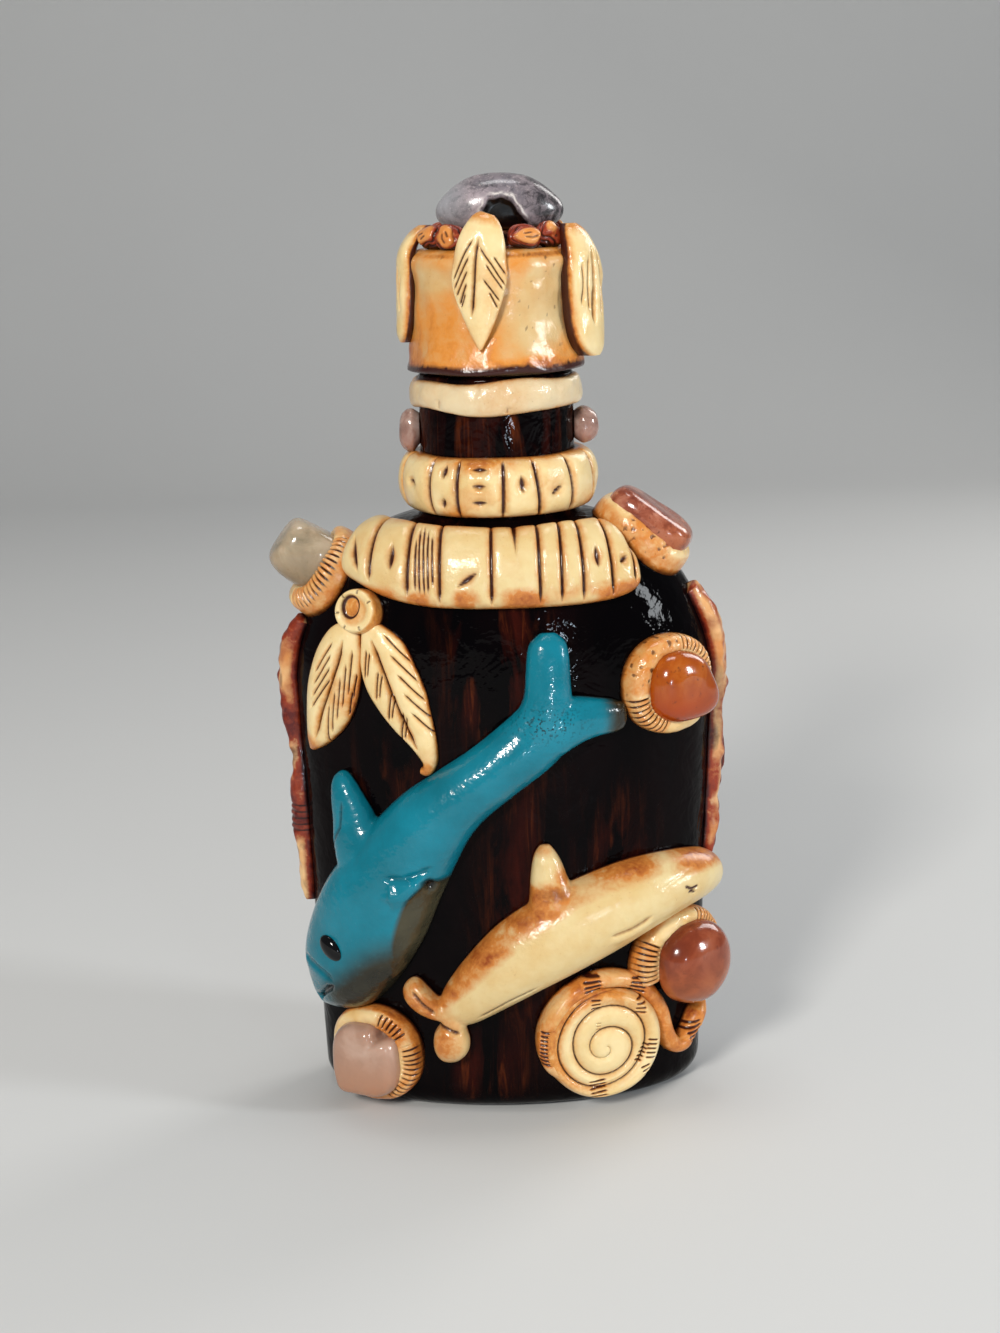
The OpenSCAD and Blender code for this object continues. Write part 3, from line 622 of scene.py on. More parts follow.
def polished_stone(name, deep, main, pale, flecks, glow, scale, clear, specks):
    """Tumbled stone: cloudy colours with flecks under a polish, and a low side that light shines into."""
    look = Look(name, Subsurface_Weight=clear, Subsurface_Radius=(1.0, 0.6, 0.45), Subsurface_Scale=3 * MM,
                Specular_IOR_Level=0.3, Coat_Weight=0.4, Coat_Roughness=0.05, Coat_IOR=1.55)
    cloud, fine = look.noise(scale, 4, 0.55, 0.5), look.noise(scale * 4, 4, 0.6)
    tone = look.layer(deep, main, look.level(cloud, 0.3, 0.55))
    tone = look.layer(tone, pale, look.level(cloud, 0.5, 0.78))
    tone = look.layer(tone, glow, look.mask("low"), look.level(cloud, 0.1, 0.6))
    look.colour(look.layer(tone, flecks, look.level(fine, 0.6, 0.74), specks))
    look.rough(fine, 0.1, 0.24)
    look.bump((cloud, 0.1), (fine, 0.02))
    return look.material


def cork_bark():
    look = Look("cork_bark", Roughness=0.85, Specular_IOR_Level=0.2)
    grain, pits = look.noise(0.8, 5, 0.65), look.cells(0.35)
    tone = look.layer("#a8794a", "#cfa470", look.level(grain, 0.35, 0.65))
    tone = look.layer(tone, "#4f2e17", look.mask("stain_and_shade"), look.level(grain, 0.3, 0.5))
    look.colour(look.layer(tone, "#7d532d", look.level(pits, 0.04, 0.0)))
    look.bump((grain, 0.25), (pits, 0.15))
    return look.material


def turned_wood():
    look = Look("turned_wood", Specular_IOR_Level=0.3)
    rings, pores = look.noise(0.25, 4, 0.6, 1.5, (1, 1, 0.15)), look.noise(2.0, 3, stretch=(1, 1, 0.1))
    tone = look.layer("#7a5230", "#a87b4c", look.level(rings, 0.35, 0.65))
    look.colour(look.layer(tone, "#4a2d17", look.level(pores, 0.6, 0.7), 0.6))
    look.rough(rings, 0.5, 0.7)
    look.bump((pores, 0.08))
    return look.material


def black_bead():
    look = Look("black_bead", Coat_Weight=0.25, Coat_Roughness=0.03, Specular_IOR_Level=0.2)
    cloud = look.noise(0.6, 3)
    look.colour(look.layer("#020203", "#08080a", cloud))
    look.rough(cloud, 0.06, 0.14)
    return look.material


def kidney_agate():
    """Grey and mauve agate with a painted shadow, black, in its hollow, a thin white vein over it and a pale
    clear end.
    """
    look = Look("mauve_agate", Specular_IOR_Level=0.4, Coat_Weight=0.25, Coat_Roughness=0.08, Coat_IOR=1.5)
    cloud, spots, fine = look.noise(0.16, 4, 0.6, 0.9), look.noise(0.5, 5, 0.65, 0.6), look.noise(1.6, 3)
    hollow = look.mask("hollow")
    tone = look.layer("#736c72", "#a6989c", look.level(cloud, 0.36, 0.6))
    tone = look.layer(tone, "#262429", look.level(spots, 0.5, 0.66), 0.8)
    tone = look.layer(tone, "#b3a5a2", look.level(fine, 0.58, 0.7), 0.45)
    tone = look.layer(tone, "#1b1a1d", look.mask("dusk"), look.level(spots, 0.2, 0.55))
    tone = look.layer(tone, "#9a9a9e", look.mask("ends"), look.level(cloud, 0.1, 0.5))
    # Painted shadow: the hollow is coloured black
    tone = look.layer(tone, "#030304", look.level(hollow, 0.2, 0.5))
    look.colour(look.layer(tone, "#d8d0ca", look.mask("vein"), look.level(fine, 0.28, 0.5)))
    look.rough(look.plus(fine, hollow), 0.16, 0.34)
    look.bump((cloud, 0.12), (spots, 0.03))
    return look.material


# Clays, each with its pale, middle, warm, deep and dark colours
IVORY = clay("ivory_clay", "#e9d29e", "#dfc084", "#d08a40", "#9c4b1c", "#3a1409")
CREAM = clay("cream_clay", "#dcc591", "#d4b47a", "#c67c38", "#94461a", "#3a1409", 2.0)
AMBER = clay("amber_clay", "#e4c792", "#dab06e", "#cc7e36", "#914118", "#3a1408", 3.0)
CAP_CLAY = clay("cap_clay", "#d4b885", "#cda46a", "#d68a3a", "#9c4a1a", "#340e06", 5.0, -0.3)
RING_CLAY = clay("ring_clay", "#dfcba5", "#d8be94", "#cc9860", "#9c5a30", "#3c180c", 9.0)
PELLET = clay("pellet_clay", "#e8a55c", "#d98a40", "#94381c", "#641c12", "#2c0a06", 7.0)
RUST = clay("rust_clay", "#e6bd88", "#d08a4c", "#8e351a", "#571410", "#200606", 6.0)
TEAL = teal_clay()

# Stones by slot: deep, main and pale colours, flecks and glow, then scale, clearness and flecking
STONES = {slot: polished_stone(*look) for slot, look in {
    "stone_quartz": ("pale_quartz", "#806258", "#9e8074", "#beaaa0", "#774a3e", "#a07668", 0.3, 0.4, 0.6),
    "stone_grey_green": (
        "grey_green_stone", "#857862", "#b09e84", "#c6b6a2", "#6d5a3c", "#80694a", 0.14, 0.35, 0.3),
    "stone_jasper": ("jasper", "#6a2c1e", "#97543f", "#b67c66", "#4e2014", "#a85a2e", 0.36, 0.1, 0.9),
    "stone_carnelian": ("carnelian", "#8c3a08", "#a24c06", "#b46628", "#46190a", "#9e3600", 0.13, 0.2, 0.9),
    "stone_rose": ("rose_quartz", "#a07c68", "#b28f7b", "#c6a896", "#a06a50", "#b07c5c", 0.09, 0.4, 0.25),
    "stone_dark_red": (
        "dark_carnelian", "#5a2212", "#82391e", "#9c5436", "#3e140c", "#aa5a2c", 0.11, 0.2, 0.4),
}.items()}
MAUVE = kidney_agate()
GLASS = dark_glass()
BEAD = black_bead()
CORK = cork_bark()
WOOD = turned_wood()


# The flask

def bottle():
    """The glass in oval rings: its sole, its outside up to the lip, its bore and its hollow."""
    quarter = math.pi / 2
    rise = NECK_Z - SHOULDER_Z
    heights = np.r_[HEEL_R * (1 - np.cos(np.linspace(0, quarter, 14))),
                    np.linspace(HEEL_R, SHOULDER_Z, 48)[1:],
                    SHOULDER_Z + rise * np.sin(np.linspace(0, math.radians(86), 40))[1:],
                    np.linspace(NECK_Z + 1.5, LIP_Z - LIP_ROUND, 16)]
    rings = [(*(BASE * share), 0) for share in (0.02, 0.4, 0.75)]
    rings += [(glass_half(z, 0), glass_half(z, 1), z) for z in heights]
    for t in np.linspace(0.2, quarter, 5):
        lip_r = NECK_R - LIP_ROUND * (1 - math.cos(t))
        rings.append((lip_r, lip_r, LIP_Z - LIP_ROUND * (1 - math.sin(t))))
    inner_rise, inner_root = rise - 1.5 * WALL, BORE_R - 1
    rings += [(BORE_R, BORE_R, z) for z in np.linspace(LIP_Z, SHOULDER_Z + 0.985 * inner_rise, 12)]
    for t in np.linspace(math.radians(76), 0, 16):
        inner = inner_root + (SHOULDER - WALL - inner_root) * math.cos(t)
        rings.append((*inner, SHOULDER_Z + inner_rise * math.sin(t)))
    for z in np.linspace(SHOULDER_Z - 8, FLOOR_Z + HEEL_R, 10):
        rings.append((glass_half(z, 0) - WALL, glass_half(z, 1) - WALL, z))
    for t in np.linspace(0.3, quarter, 6):
        rings.append((*(BASE - WALL - HEEL_R * (1 - math.cos(t))), FLOOR_Z + HEEL_R * (1 - math.sin(t))))
    rings += [(*((BASE - WALL - HEEL_R) * share), FLOOR_Z) for share in (0.5, 0.02)]
    wide, deep, z = np.array(rings, float).T[..., None]
    points = oval(wide, deep, full_turn(216), z)

    # Red-brown blotches on the front, each with its strength, its middle and its reach
    blotches = [(1.3, (-1, 104), (8, 22)), (1.0, (4, 48), (8, 20)), (0.8, (-6, 12), (8, 7)),
                (0.55, (-24, 74), (9, 12)), (0.6, (25, 64), (6, 9))]
    x, front = points[..., 0], ramp(-points[..., 1], 0, 16)
    streak = sum(strength * spot_mask(x, z, middle, reach) for strength, middle, reach in blotches)
    streak = front * (streak + 0.45 * ramp(z, 146, 150)) + 0.25 * ramp(z, 134, 142)
    streak += (1 - front) * 0.6 * ramp(lumps(points, 30.0, 11), 0.1, 1.2)
    return piece("flask", points, GLASS, "flask_glass", ["bottle_glass"], streak=streak)


# Clay on the neck and the shoulder

# How the two bands are cut, and how far the neck band's face stands off the neck
GROOVE = dict(depth=1.5, width=0.36, spread=3.2)
NICK = dict(depth=1.3, width=0.5, shape="lens")
BAND_SWELL = 5


def neck_clay(node, thick, wave, phase):
    """A clay collar round the neck, whose edges wander up and down a little."""
    low, high = span(node)
    turn = full_turn(300)
    wander = [wave * np.sin(k * turn + phase + late) / k for k, late in ((2, 0), (3, 1.3), (5, 2.9))]
    top, foot = high[2] + wander[0] * 0.5 + wander[2], low[2] + wander[1] + wander[2] * 0.5
    arc = NECK_R * (turn - math.pi)
    height = thick * (0.95 + 0.05 * np.sin(4 * turn + phase))
    lines = np.stack([arc, top, arc, foot, height], axis=1)
    return Relief(lines, on_neck, across=34, fullness=0.55, loop=True)


def on_band(points):
    """Places seen on the front of the neck band, as arcs on the neck."""
    return [(arc * NECK_R / (NECK_R + BAND_SWELL), z) for arc, z in points]


def neck_ring():
    ring = neck_clay("neck_ring", thick=2.1, wave=1.7, phase=0.4)
    ring.carve([[(2, 162.2), (2.4, 163.6)], [(-13, 163), (-12.6, 165)]], depth=0.5, width=0.3, halo=0.3)
    ring.stain_and_shade = 0.45 * ring.stain_and_shade
    ring.roughen(amount=0.3, size=5.0, seed=21).roughen(amount=0.12, size=2.0, seed=23)
    ring.wash(reach=0.7, amount=0.8, seed=22, warm=0.3)
    return ring.piece("neck_ring_clay", RING_CLAY, "clay_ivory", ["neck_ring"])


def neck_band():
    foot, top = (corner[2] for corner in span("neck_band"))
    band = neck_clay("neck_band", thick=5.2, wave=0.25, phase=2.0)
    # Arcs of each groove's upper and lower end, and the height at which it bends
    grooves = [(-67, -66.4), (-56, -56.6), (-44.5, -44), (-30.5, -30), (-17.6, -17.9), (-9.6, -9.9),
               (1.2, 1), (8.6, 10.4), (18.4, 20.4), (29, 29.6), (38.4, 37.8), (47.5, 48), (57, 56.4),
               (65, 65.6)]
    bend_z = 148
    lines = [[(up, top), (up * 0.7 + down * 0.3, bend_z), (down, foot)] for up, down in grooves]
    nicks = [[(-12.6, 151.4), (-13.6, 147.6)], [(-13, 144.2), (-14, 141)], [(-26, 147.2), (-22, 146)],
             *row_of((-6.6, 150.2), (0, -3.6), (4.6, 0), 3),
             [(5.2, 149.4), (5.5, 144.4)], [(12.4, 143.6), (16.4, 146.2)], [(-38, 150), (-36.6, 144.6)],
             [(32, 142), (34.8, 146)], [(52, 150), (52.6, 145)], [(61, 142.6), (61.4, 147.6)],
             [(-50, 149), (-49, 144)], [(-62, 142.6), (-61, 147)]]
    band.carve(map(on_band, lines), **GROOVE).carve(map(on_band, nicks), **NICK)
    band.roughen(amount=0.16, size=4.5, seed=31).wash(reach=1.9, amount=0.9, seed=32, warm=0.45)
    band.tint(0.95 * spot_mask(band.a, band.b, (-3, top), (7, 3)))
    return band.piece("neck_band_clay", IVORY, "clay_ivory", ["neck_band"])


def shoulder_band():
    left, right = -38.2, 30.25
    rows = [(left + 1.6, 130, left + 0.6, 127.6, 2.4), (left + 3.4, 133.8, left + 2.2, 125.6, 4.0),
            (left + 6.6, 136, left + 5.4, 124.4, 4.7), (-24, 136.4, -25, 121.8, 4.8),
            (-16.5, 136.4, -16.5, 120.4, 4.8), (-8, 136.5, -8, 120, 4.8), (0, 136.5, 0, 119.9, 4.8),
            (8, 136.5, 8, 119.9, 4.8), (15, 136.4, 16.4, 120, 4.8),
            (right - 8.2, 136, right - 5, 120.6, 4.8), (right - 5.2, 134.8, right + 0.4, 122.4, 4.5),
            (right - 2.8, 132.8, right + 1.2, 126.4, 2.6)]
    band = Relief(smooth(rows, 34), on_glass, across=60, fullness=0.5)
    grooves = [[(-26.9, 137), (-28.6, 125)], [(-18.6, 136.6), (-20, 122.6)], [(-12.2, 137), (-13, 121.4)],
               [(-1.8, 137), (-2, 121)], [(7.7, 137), (8.3, 121)], [(12.4, 137), (12.9, 121)],
               [(16.5, 137), (17.7, 121)], [(22.4, 136), (24.2, 121.6)], [(28.6, 132), (29.4, 123.6)]]
    scratches = [[(-17.4, 133), (-18, 123.6)], [(-16.6, 135), (-17.1, 122.8)],
                 [(-15.7, 135.4), (-16.1, 122.6)], [(-14.8, 134.6), (-15.2, 123)],
                 [(-13.9, 134), (-14.2, 124.4)]]
    wedge = [(2.9, 136.2), (3.2, 130)]
    nicks = [[(-33, 132), (-31, 125.8)], [(-4.2, 127.8), (-9.6, 124.2)], [(-22.6, 132.2), (-23.4, 126.6)],
             [(19.8, 131.4), (20.5, 126.4)], [(25, 127), (27.4, 128.4)]]
    band.carve(grooves, **GROOVE).carve(scratches, depth=0.6, width=0.22, halo=0.45)
    band.carve([wedge], depth=1.4, width=0.5, shape="wedge").carve(nicks, **NICK)
    band.roughen(amount=0.16, size=4.5, seed=41).wash(reach=1.8, amount=0.95, seed=42, warm=0.4)
    band.tint(0.85 * fall(band.b, 122, 125.4) * ramp(band.lumps(5.0, 43), -1.0, 0.3))
    return band.piece("shoulder_band_clay", CREAM, "clay_ivory", ["shoulder_band"])


# Stones and their settings

STONE_GAP = 0.3
STONE_POWER = 2.3
# Shapes of a stone's side, as shares of its outline and its height
PEBBLE = [(0.72, 0.0), (0.97, 0.28), (1, 0.45), (0.93, 0.66), (0.74, 0.86), (0.42, 0.98), (0.06, 1.0)]
BLOCK = [(0.8, 0.0), (0.97, 0.2), (1, 0.48), (0.97, 0.72), (0.86, 0.9), (0.6, 0.985), (0.06, 1.0)]
BEZEL_WIDE, BEZEL_NARROW, BEZEL_H = 3.5, 1.9, 4.2
# How far a setting's clay runs in under its stone, and the pitch of its ribs
BEZEL_TUCK = 1.6
RIB_PITCH = 1.15


def wrapped(angle):
    """The same angle, from half a turn one way to half a turn the other."""
    return (angle + math.pi) % (2 * math.pi) - math.pi


def outline(size, angle, more=0.0, power=STONE_POWER):
    """A rounded outline of the given width and height, or a little more."""
    x, y = np.abs(np.cos(angle)) / (size[0] / 2 + more), np.abs(np.sin(angle)) / (size[1] / 2 + more)
    r = (x**power + y**power) ** (-1 / power)
    return r * np.cos(angle), r * np.sin(angle)


def stone(name, spot, size, slot, node, seed, uneven=(0.45, 7.0), profile=PEBBLE, power=STONE_POWER,
          shape=None):
    """A tumbled stone on the glass. A shape moves its side in or out at each angle and level."""
    angle = full_turn(120)
    rings = np.vstack([[(0.06, -0.01), (0.4, -0.01)], smooth(profile, 8)])
    reach, level = rings[:, :1], rings[:, 1:]
    if shape:
        reach = reach * (1 + shape(angle, level))
    x, y = (reach * side for side in outline(size, angle, power=power))
    drop = spot.drop(x, y)
    points = spot.at(x, y, np.where(level < 0, -drop, np.maximum(-drop, level * size[2])))
    away = points - spot.at(0, 0, size[2] / 2)
    away /= np.linalg.norm(away, axis=-1, keepdims=True)
    amount, lump_size = uneven
    points = points + away * (amount * lumps(points, lump_size, seed) * ramp(level, 0.0, 0.4))[..., None]
    z = points[..., 2]
    low = ramp((z.min() + z.max()) / 2 - z, -0.25 * size[1], 0.45 * size[1])
    return piece(name, points, STONES[slot], slot, [node], low=low)


def bezel(name, spot, size, node, seed, warm, wide_at, ribbed=(), mottled=None, ends=None):
    """A clay setting round a stone, or between two ends of it. Angles are in degrees.

    Each ribbed stretch has short ribs pressed into it, from near to far across the clay.
    """
    closed = ends is None
    degrees = np.linspace(0, 360, 420, endpoint=False) if closed else np.linspace(*ends, 280)
    angle = np.radians(degrees)
    x, y = outline(size, angle, -BEZEL_TUCK)
    wide = BEZEL_NARROW + (BEZEL_WIDE - BEZEL_NARROW) * (1 + np.cos(angle - math.radians(wide_at))) / 2
    grow = 1 + (wide + BEZEL_TUCK + STONE_GAP) / np.hypot(x, y)
    taper = np.ones(len(angle)) if closed else ramp(np.minimum(degrees - ends[0], ends[1] - degrees), -6, 10)
    rows = np.stack([x, y, x * grow, y * grow, BEZEL_H * taper], axis=1)
    ring = Relief(rows, spot.laid(0.6, BEZEL_H), across=36, fullness=0.45, loop=closed)
    ring.roughen(amount=0.22, size=3.0, seed=seed).roughen(amount=0.08, size=0.9, seed=seed + 2)
    along = np.cumsum(np.hypot(*(np.gradient(side * (1 + grow) / 2) for side in (x, y))))[:, None]
    ribs = ramp(0.5 - 0.5 * np.cos(2 * math.pi * along / RIB_PITCH), 0.45, 0.9)
    for start, stop, near, far in ribbed:
        middle, half = math.radians(start + stop) / 2, math.radians(stop - start) / 2
        inside = fall(np.abs(wrapped(angle - middle)), half - 0.04, half + 0.04)[:, None]
        inside = inside * ramp(ring.across, near - 0.08, near + 0.08)
        inside = inside * fall(ring.across, far - 0.08, far + 0.08)
        ring.press(ribs * inside, depth=0.8, stain_and_shade=0.85).tint(0.45 * inside)
    if mottled:
        start, stop = mottled
        inside = (ramp(degrees, start - 6, start + 6) * fall(degrees, stop - 6, stop + 6))[:, None]
        marks = ramp(ring.lumps(0.9, seed + 4), 0.35, 0.9)
        ring.press(marks * inside, depth=0.3, stain_and_shade=0.6).tint(0.5 * inside)
    ring.wash(reach=0.9, amount=0.8, seed=seed + 1, warm=0.4 + 0.6 * warm)
    ring.tint((0.35 + 0.6 * warm) * ramp(ring.across, 0.8, 1.0))
    return ring.piece(name, AMBER, "clay_amber", [node])


def notch(angle, at, width, depth):
    """A dent in a stone's side, or a bulge where its depth is below 0."""
    return -depth * bell(wrapped(angle - math.radians(at)), 0, math.radians(width))


def stones():
    neck_z = np.mean(span("neck_stone_left"), axis=0)[2]
    for side, angle, size, seed in (("left", -90, (8.6, 9.6, 4.8), 51), ("right", 90, (9, 8.6, 6), 52)):
        spot = Spot.by_angle(angle, neck_z)
        stone(f"neck_pebble_{side}", spot, size, "stone_quartz", f"neck_stone_{side}", seed)

    def leaning(angle, level):
        return 0.05 * np.sin(angle) * level - 0.06 * ramp(level, 0.3, 0.9) * (1 + np.sin(angle))
    spot = Spot.by_angle(-84, SHOULDER_Z + 25.8)
    stone("grey_green_pebble", spot, (14.6, 14.6, 13.2), "stone_grey_green", "shoulder_stone_left", 53,
          uneven=(0.5, 9.0), profile=BLOCK, power=2.8, shape=leaning)
    bezel("grey_green_setting", spot, (15, 16), "shoulder_bezel_left", 61, warm=0.3, wide_at=270,
          ribbed=[(-80, 60, 0.25, 0.95)])

    spot = Spot.by_angle(80, SHOULDER_Z + 32.4)
    stone("jasper_pebble", spot, (15, 20.8, 7.6), "stone_jasper", "shoulder_stone_right", 54,
          uneven=(0.45, 8.0), profile=BLOCK, power=2.7)
    bezel("jasper_setting", spot, (15, 18.4), "shoulder_bezel_right", 63, warm=0.2, wide_at=0,
          mottled=(150, 230))

    def heart(angle, level):
        return notch(angle, -28, 30, -0.34) + notch(angle, 62, 30, 0.08) - 0.04 * np.cos(2 * angle) * level
    spot = Spot.by_arc(39.2, SHOULDER_Z + 0.4)
    stone("carnelian_pebble", spot, (16.6, 16.4, 8.8), "stone_carnelian", "side_stone_right", 55,
          uneven=(0.25, 8.0), shape=heart)
    bezel("carnelian_setting", spot, (17.4, 16.6), "side_bezel_right", 65, warm=0.15, wide_at=180,
          ribbed=[(188, 250, 0.3, 1.0), (8, 86, 0.3, 1.0)], mottled=(86, 186))

    def chipped(angle, level):
        return notch(angle, 58, 13, 0.3) * ramp(level, 0, 0.3) + notch(angle, 232, 14, -0.12)
    spot, size = Spot.by_arc(-33, 13.4), (17, 17.4, 8.6)
    stone("rose_pebble", spot, size, "stone_rose", "base_stone_left", 56,
          uneven=(0.25, 9.0), profile=BLOCK, power=2.8, shape=chipped)
    bezel("rose_setting", spot, size, "base_bezel_left", 67, warm=0.85, wide_at=40,
          ribbed=[(-62, 22, 0.45, 1.0), (34, 74, 0.25, 0.85)])

    def bulged(angle, level):
        return notch(angle, -75, 25, -0.06)
    spot, size = Spot.by_arc(41.8, 33.5), (20.2, 19.4, 11.2)
    stone("dark_carnelian_pebble", spot, size, "stone_dark_red", "base_stone_right", 57,
          uneven=(0.3, 9.0), shape=bulged)
    bezel("dark_carnelian_setting", spot, size, "base_bezel_right", 69, warm=0.35, wide_at=190,
          ribbed=[(150, 205, 0.3, 1.0), (30, 80, 0.3, 0.95)], ends=(20, 205))


# Button, feathers and ropes

BUTTON_AT = np.array([-32.0, SHOULDER_Z + 18.6])


def disc(name, node, at, radius, height, face, seed, follow, rings, sides, spread=0.0):
    """A round clay tablet, spread a little to its right. Its face gives height, stain and warmth."""
    spot = Spot.by_arc(*at)
    angle = full_turn(sides)
    brink = np.linspace(0, math.pi / 2, 16)
    reach = np.r_[np.linspace(0.01, 0.84, rings), 0.86 + 0.14 * np.sin(brink)][:, None]
    round_edge = np.r_[np.ones(rings), np.cos(brink) ** 0.6][:, None]
    under = np.array([0.96, 0.6, 0.2, 0.01])[:, None]
    wobble = 1 + 0.02 * np.sin(2 * angle + seed) + 0.012 * np.sin(3 * angle + 2 * seed)
    edge_x, edge_y = (radius * wobble * way for way in (np.cos(angle), np.sin(angle)))
    x, y = reach * edge_x, reach * edge_y
    top, stain_and_shade, warm = face(x, y)
    x = x + spread * ramp(x, 0, radius)
    h = -SINK + (height * top + SINK) * round_edge
    h = h + 0.12 * lumps(spot.at(x, y, 0), 5.0, seed)
    place = spot.laid(follow, height)
    sole = place(under * edge_x, under * edge_y, np.full((len(under), sides), -SINK))
    points = np.concatenate([place(x, y, h), sole])
    hidden = ((0, len(under)), (0, 0))
    # Dark and warm round the low rim: warm wash, with painted shade where the disc meets the glass
    edge = fall(h, -0.4, 0.35 * height)
    return piece(name, points, IVORY, "clay_ivory", [node],
                 stain_and_shade=np.pad(np.maximum(stain_and_shade, edge), hidden), warm=np.pad(np.maximum(warm, edge), hidden))


def feather_button():
    angles = np.radians(np.linspace(35, 300, 6))
    ticks = [[(r * math.cos(t), r * math.sin(t)) for r in (3.7, 4.8)] for t in angles]

    def face(x, y):
        r, dimple = np.hypot(x, y), np.hypot((x + 1.2) / 2.0, (y - 0.7) / 2.4)
        dish = 0.84 + 0.16 * ramp(r, 2.4, 4.3)
        hole, halo = fall(dimple, 0.75, 1.0), bell(dimple, 1.0, 0.17)
        cut = strokes(x, y, ticks, 0.3)
        warm = most(0.75 * hole, 0.45 * fall(r, 2.6, 4.2), 0.8 * ramp(r, 4.6, 5.2))
        return dish - 0.2 * hole - 0.2 * halo - 0.1 * cut, most(0.95 * halo, 0.6 * cut), warm
    return disc("feather_button_clay", "feather_button", BUTTON_AT, radius=5.2, height=4.4, face=face,
                seed=71, follow=0.7, rings=60, sides=220)


def feather(name, stations, rib, veins, node, seed):
    """A clay feather, given like its carved lines by places measured from the button's middle."""
    thick = 2.8
    rows = [(a + BUTTON_AT[0], b + BUTTON_AT[1], half, thick * share) for a, b, half, share in stations]
    leaf = Relief(lines_of(rows, 26), on_glass, across=130, fullness=0.5)
    grid = (leaf.a - BUTTON_AT[0], leaf.b - BUTTON_AT[1])
    leaf.press(stroke(*grid, rib, 1.2), depth=0.4, stain_and_shade=0.0)
    leaf.carve([rib], depth=1.4, width=0.3, grid=grid, halo=0.55, spread=3.4)
    leaf.carve(veins, depth=0.8, width=0.19, grid=grid, halo=0.4, spread=3.4)
    leaf.stain_and_shade = 0.85 * leaf.stain_and_shade
    leaf.roughen(amount=0.1, size=4.0, seed=seed).wash(reach=1.0, amount=0.9, seed=seed + 1, warm=0.4)
    leaf.tint(0.8 * ramp(leaf.along, 0.82 * leaf.length, 0.97 * leaf.length))
    return leaf.piece(name, IVORY, "clay_ivory", [node])


def feathers():
    stations = [
        (-2.4, -3.8, 2.6, 0.8), (-4.4, -7, 4.9, 0.95), (-6.3, -11.5, 6.2, 1), (-7.9, -17, 6.8, 1),
        (-9.6, -22.2, 6.3, 1), (-11.8, -26.8, 4.6, 0.95), (-14, -30.6, 2.6, 0.75), (-15.2, -32.8, 0.9, 0.5)]
    rib = [(-3.9, -6.7), (-5.4, -11.6), (-7.3, -16.1), (-10.1, -22.7), (-12.5, -29.6)]
    veins = (row_of((-6.4, -7.2), (-0.4, -2.7), (-5.2, -7), 4)
             + row_of((-1.6, -8.4), (-1.55, -3.1), (-1.5, -10), 5)
             + row_of((-1, -13.6), (-1.2, -4), (-1.2, -5.6), 2))
    feather("left_feather_clay", stations, rib, veins, "feather_left", 73)

    stations = [
        (2.4, -3.6, 2.6, 0.8), (4.8, -8.4, 5.5, 0.95), (6.6, -14, 6.3, 1), (9.2, -19.3, 5.9, 1),
        (11.2, -23.4, 4.8, 1), (13.4, -27.6, 3.4, 0.95), (14.7, -30.8, 2.4, 0.9), (15.2, -33.2, 1.7, 0.85),
        (14.5, -35.2, 1.2, 0.75), (13.1, -35.2, 0.7, 0.6)]
    rib = [(3.2, -6.1), (5.4, -12), (7.5, -17.9), (10.2, -24.5), (12.6, -29.8)]
    veins = (row_of((6, -4.6), (1.45, -4.2), (5.8, -5.8), 5)
             + row_of((1.8, -8), (2.7, -4.5), (-0.8, -6.6), 4)
             + row_of((2.6, -8.6), (2.7, -4.6), (-0.8, -5.4), 4))
    feather("right_feather_clay", stations, rib, veins, "feather_right", 75)


def rope(name, stations, node, seed, colour, notches=(), parted=None):
    """A rolled clay rope, wrinkled along its length. Its colour depends on the place along and across it."""
    half, thick = 2.0, 3.5
    rows = [(a, SHOULDER_Z + b, half * wide, thick * high) for a, b, wide, high in stations]
    vine = Relief(lines_of(rows, 20), on_glass, across=40, fullness=0.75)
    vine.roughen(amount=0.4, size=4.5, seed=seed).roughen(amount=0.26, size=1.7, seed=seed + 5)
    grain = lumps(flat(0.3 * vine.along, vine.side, 0), 1.2, seed + 7)
    vine.h = vine.h + 0.22 * grain * np.clip(vine.h, 0, 1)
    if parted:
        vine.press(bell(vine.side, 0, 0.4) * ramp(vine.along, parted, parted + 5), depth=1.0, stain_and_shade=0.8)
    lines = [[(at, -3), (at + 0.4, 3)] for at in notches]
    vine.carve(lines, depth=0.4, width=0.25, grid=(vine.along, vine.side))
    vine.stain_and_shade = np.maximum(vine.stain_and_shade, 0.5 * ramp(-grain, 0.4, 1.2))
    vine.wash(reach=0.9, amount=0.85, seed=seed + 1, warm=0.0)
    vine.tint(np.clip(colour(vine.along, vine.side) + 0.4 * grain, 0, 1))
    return vine.piece(name, RUST, "clay_rust", [node])


def left_vine():
    def colour(along, side):
        # Paler at the end, and a painted highlight near the top along the inner side
        return 0.8 - 0.75 * ramp(along, 52, 60) - 0.6 * bell(along, 12, 7) * ramp(side, -0.5, 1)
    stations = [
        (-52, 14.6, 0.8, 0.6), (-55.5, 9, 1.1, 1), (-57.4, 2, 1, 1), (-57.6, -6, 0.9, 0.95),
        (-57.2, -13, 0.85, 0.85), (-56, -20, 0.65, 0.7), (-55.8, -28, 0.95, 0.9), (-56.4, -36, 1.05, 0.95),
        (-56, -44, 0.9, 0.8), (-55.6, -51, 0.75, 0.7), (-56, -54, 0.4, 0.4)]
    return rope("left_vine_clay", stations, "vine_left", 81, colour, notches=np.linspace(45.6, 52, 5))


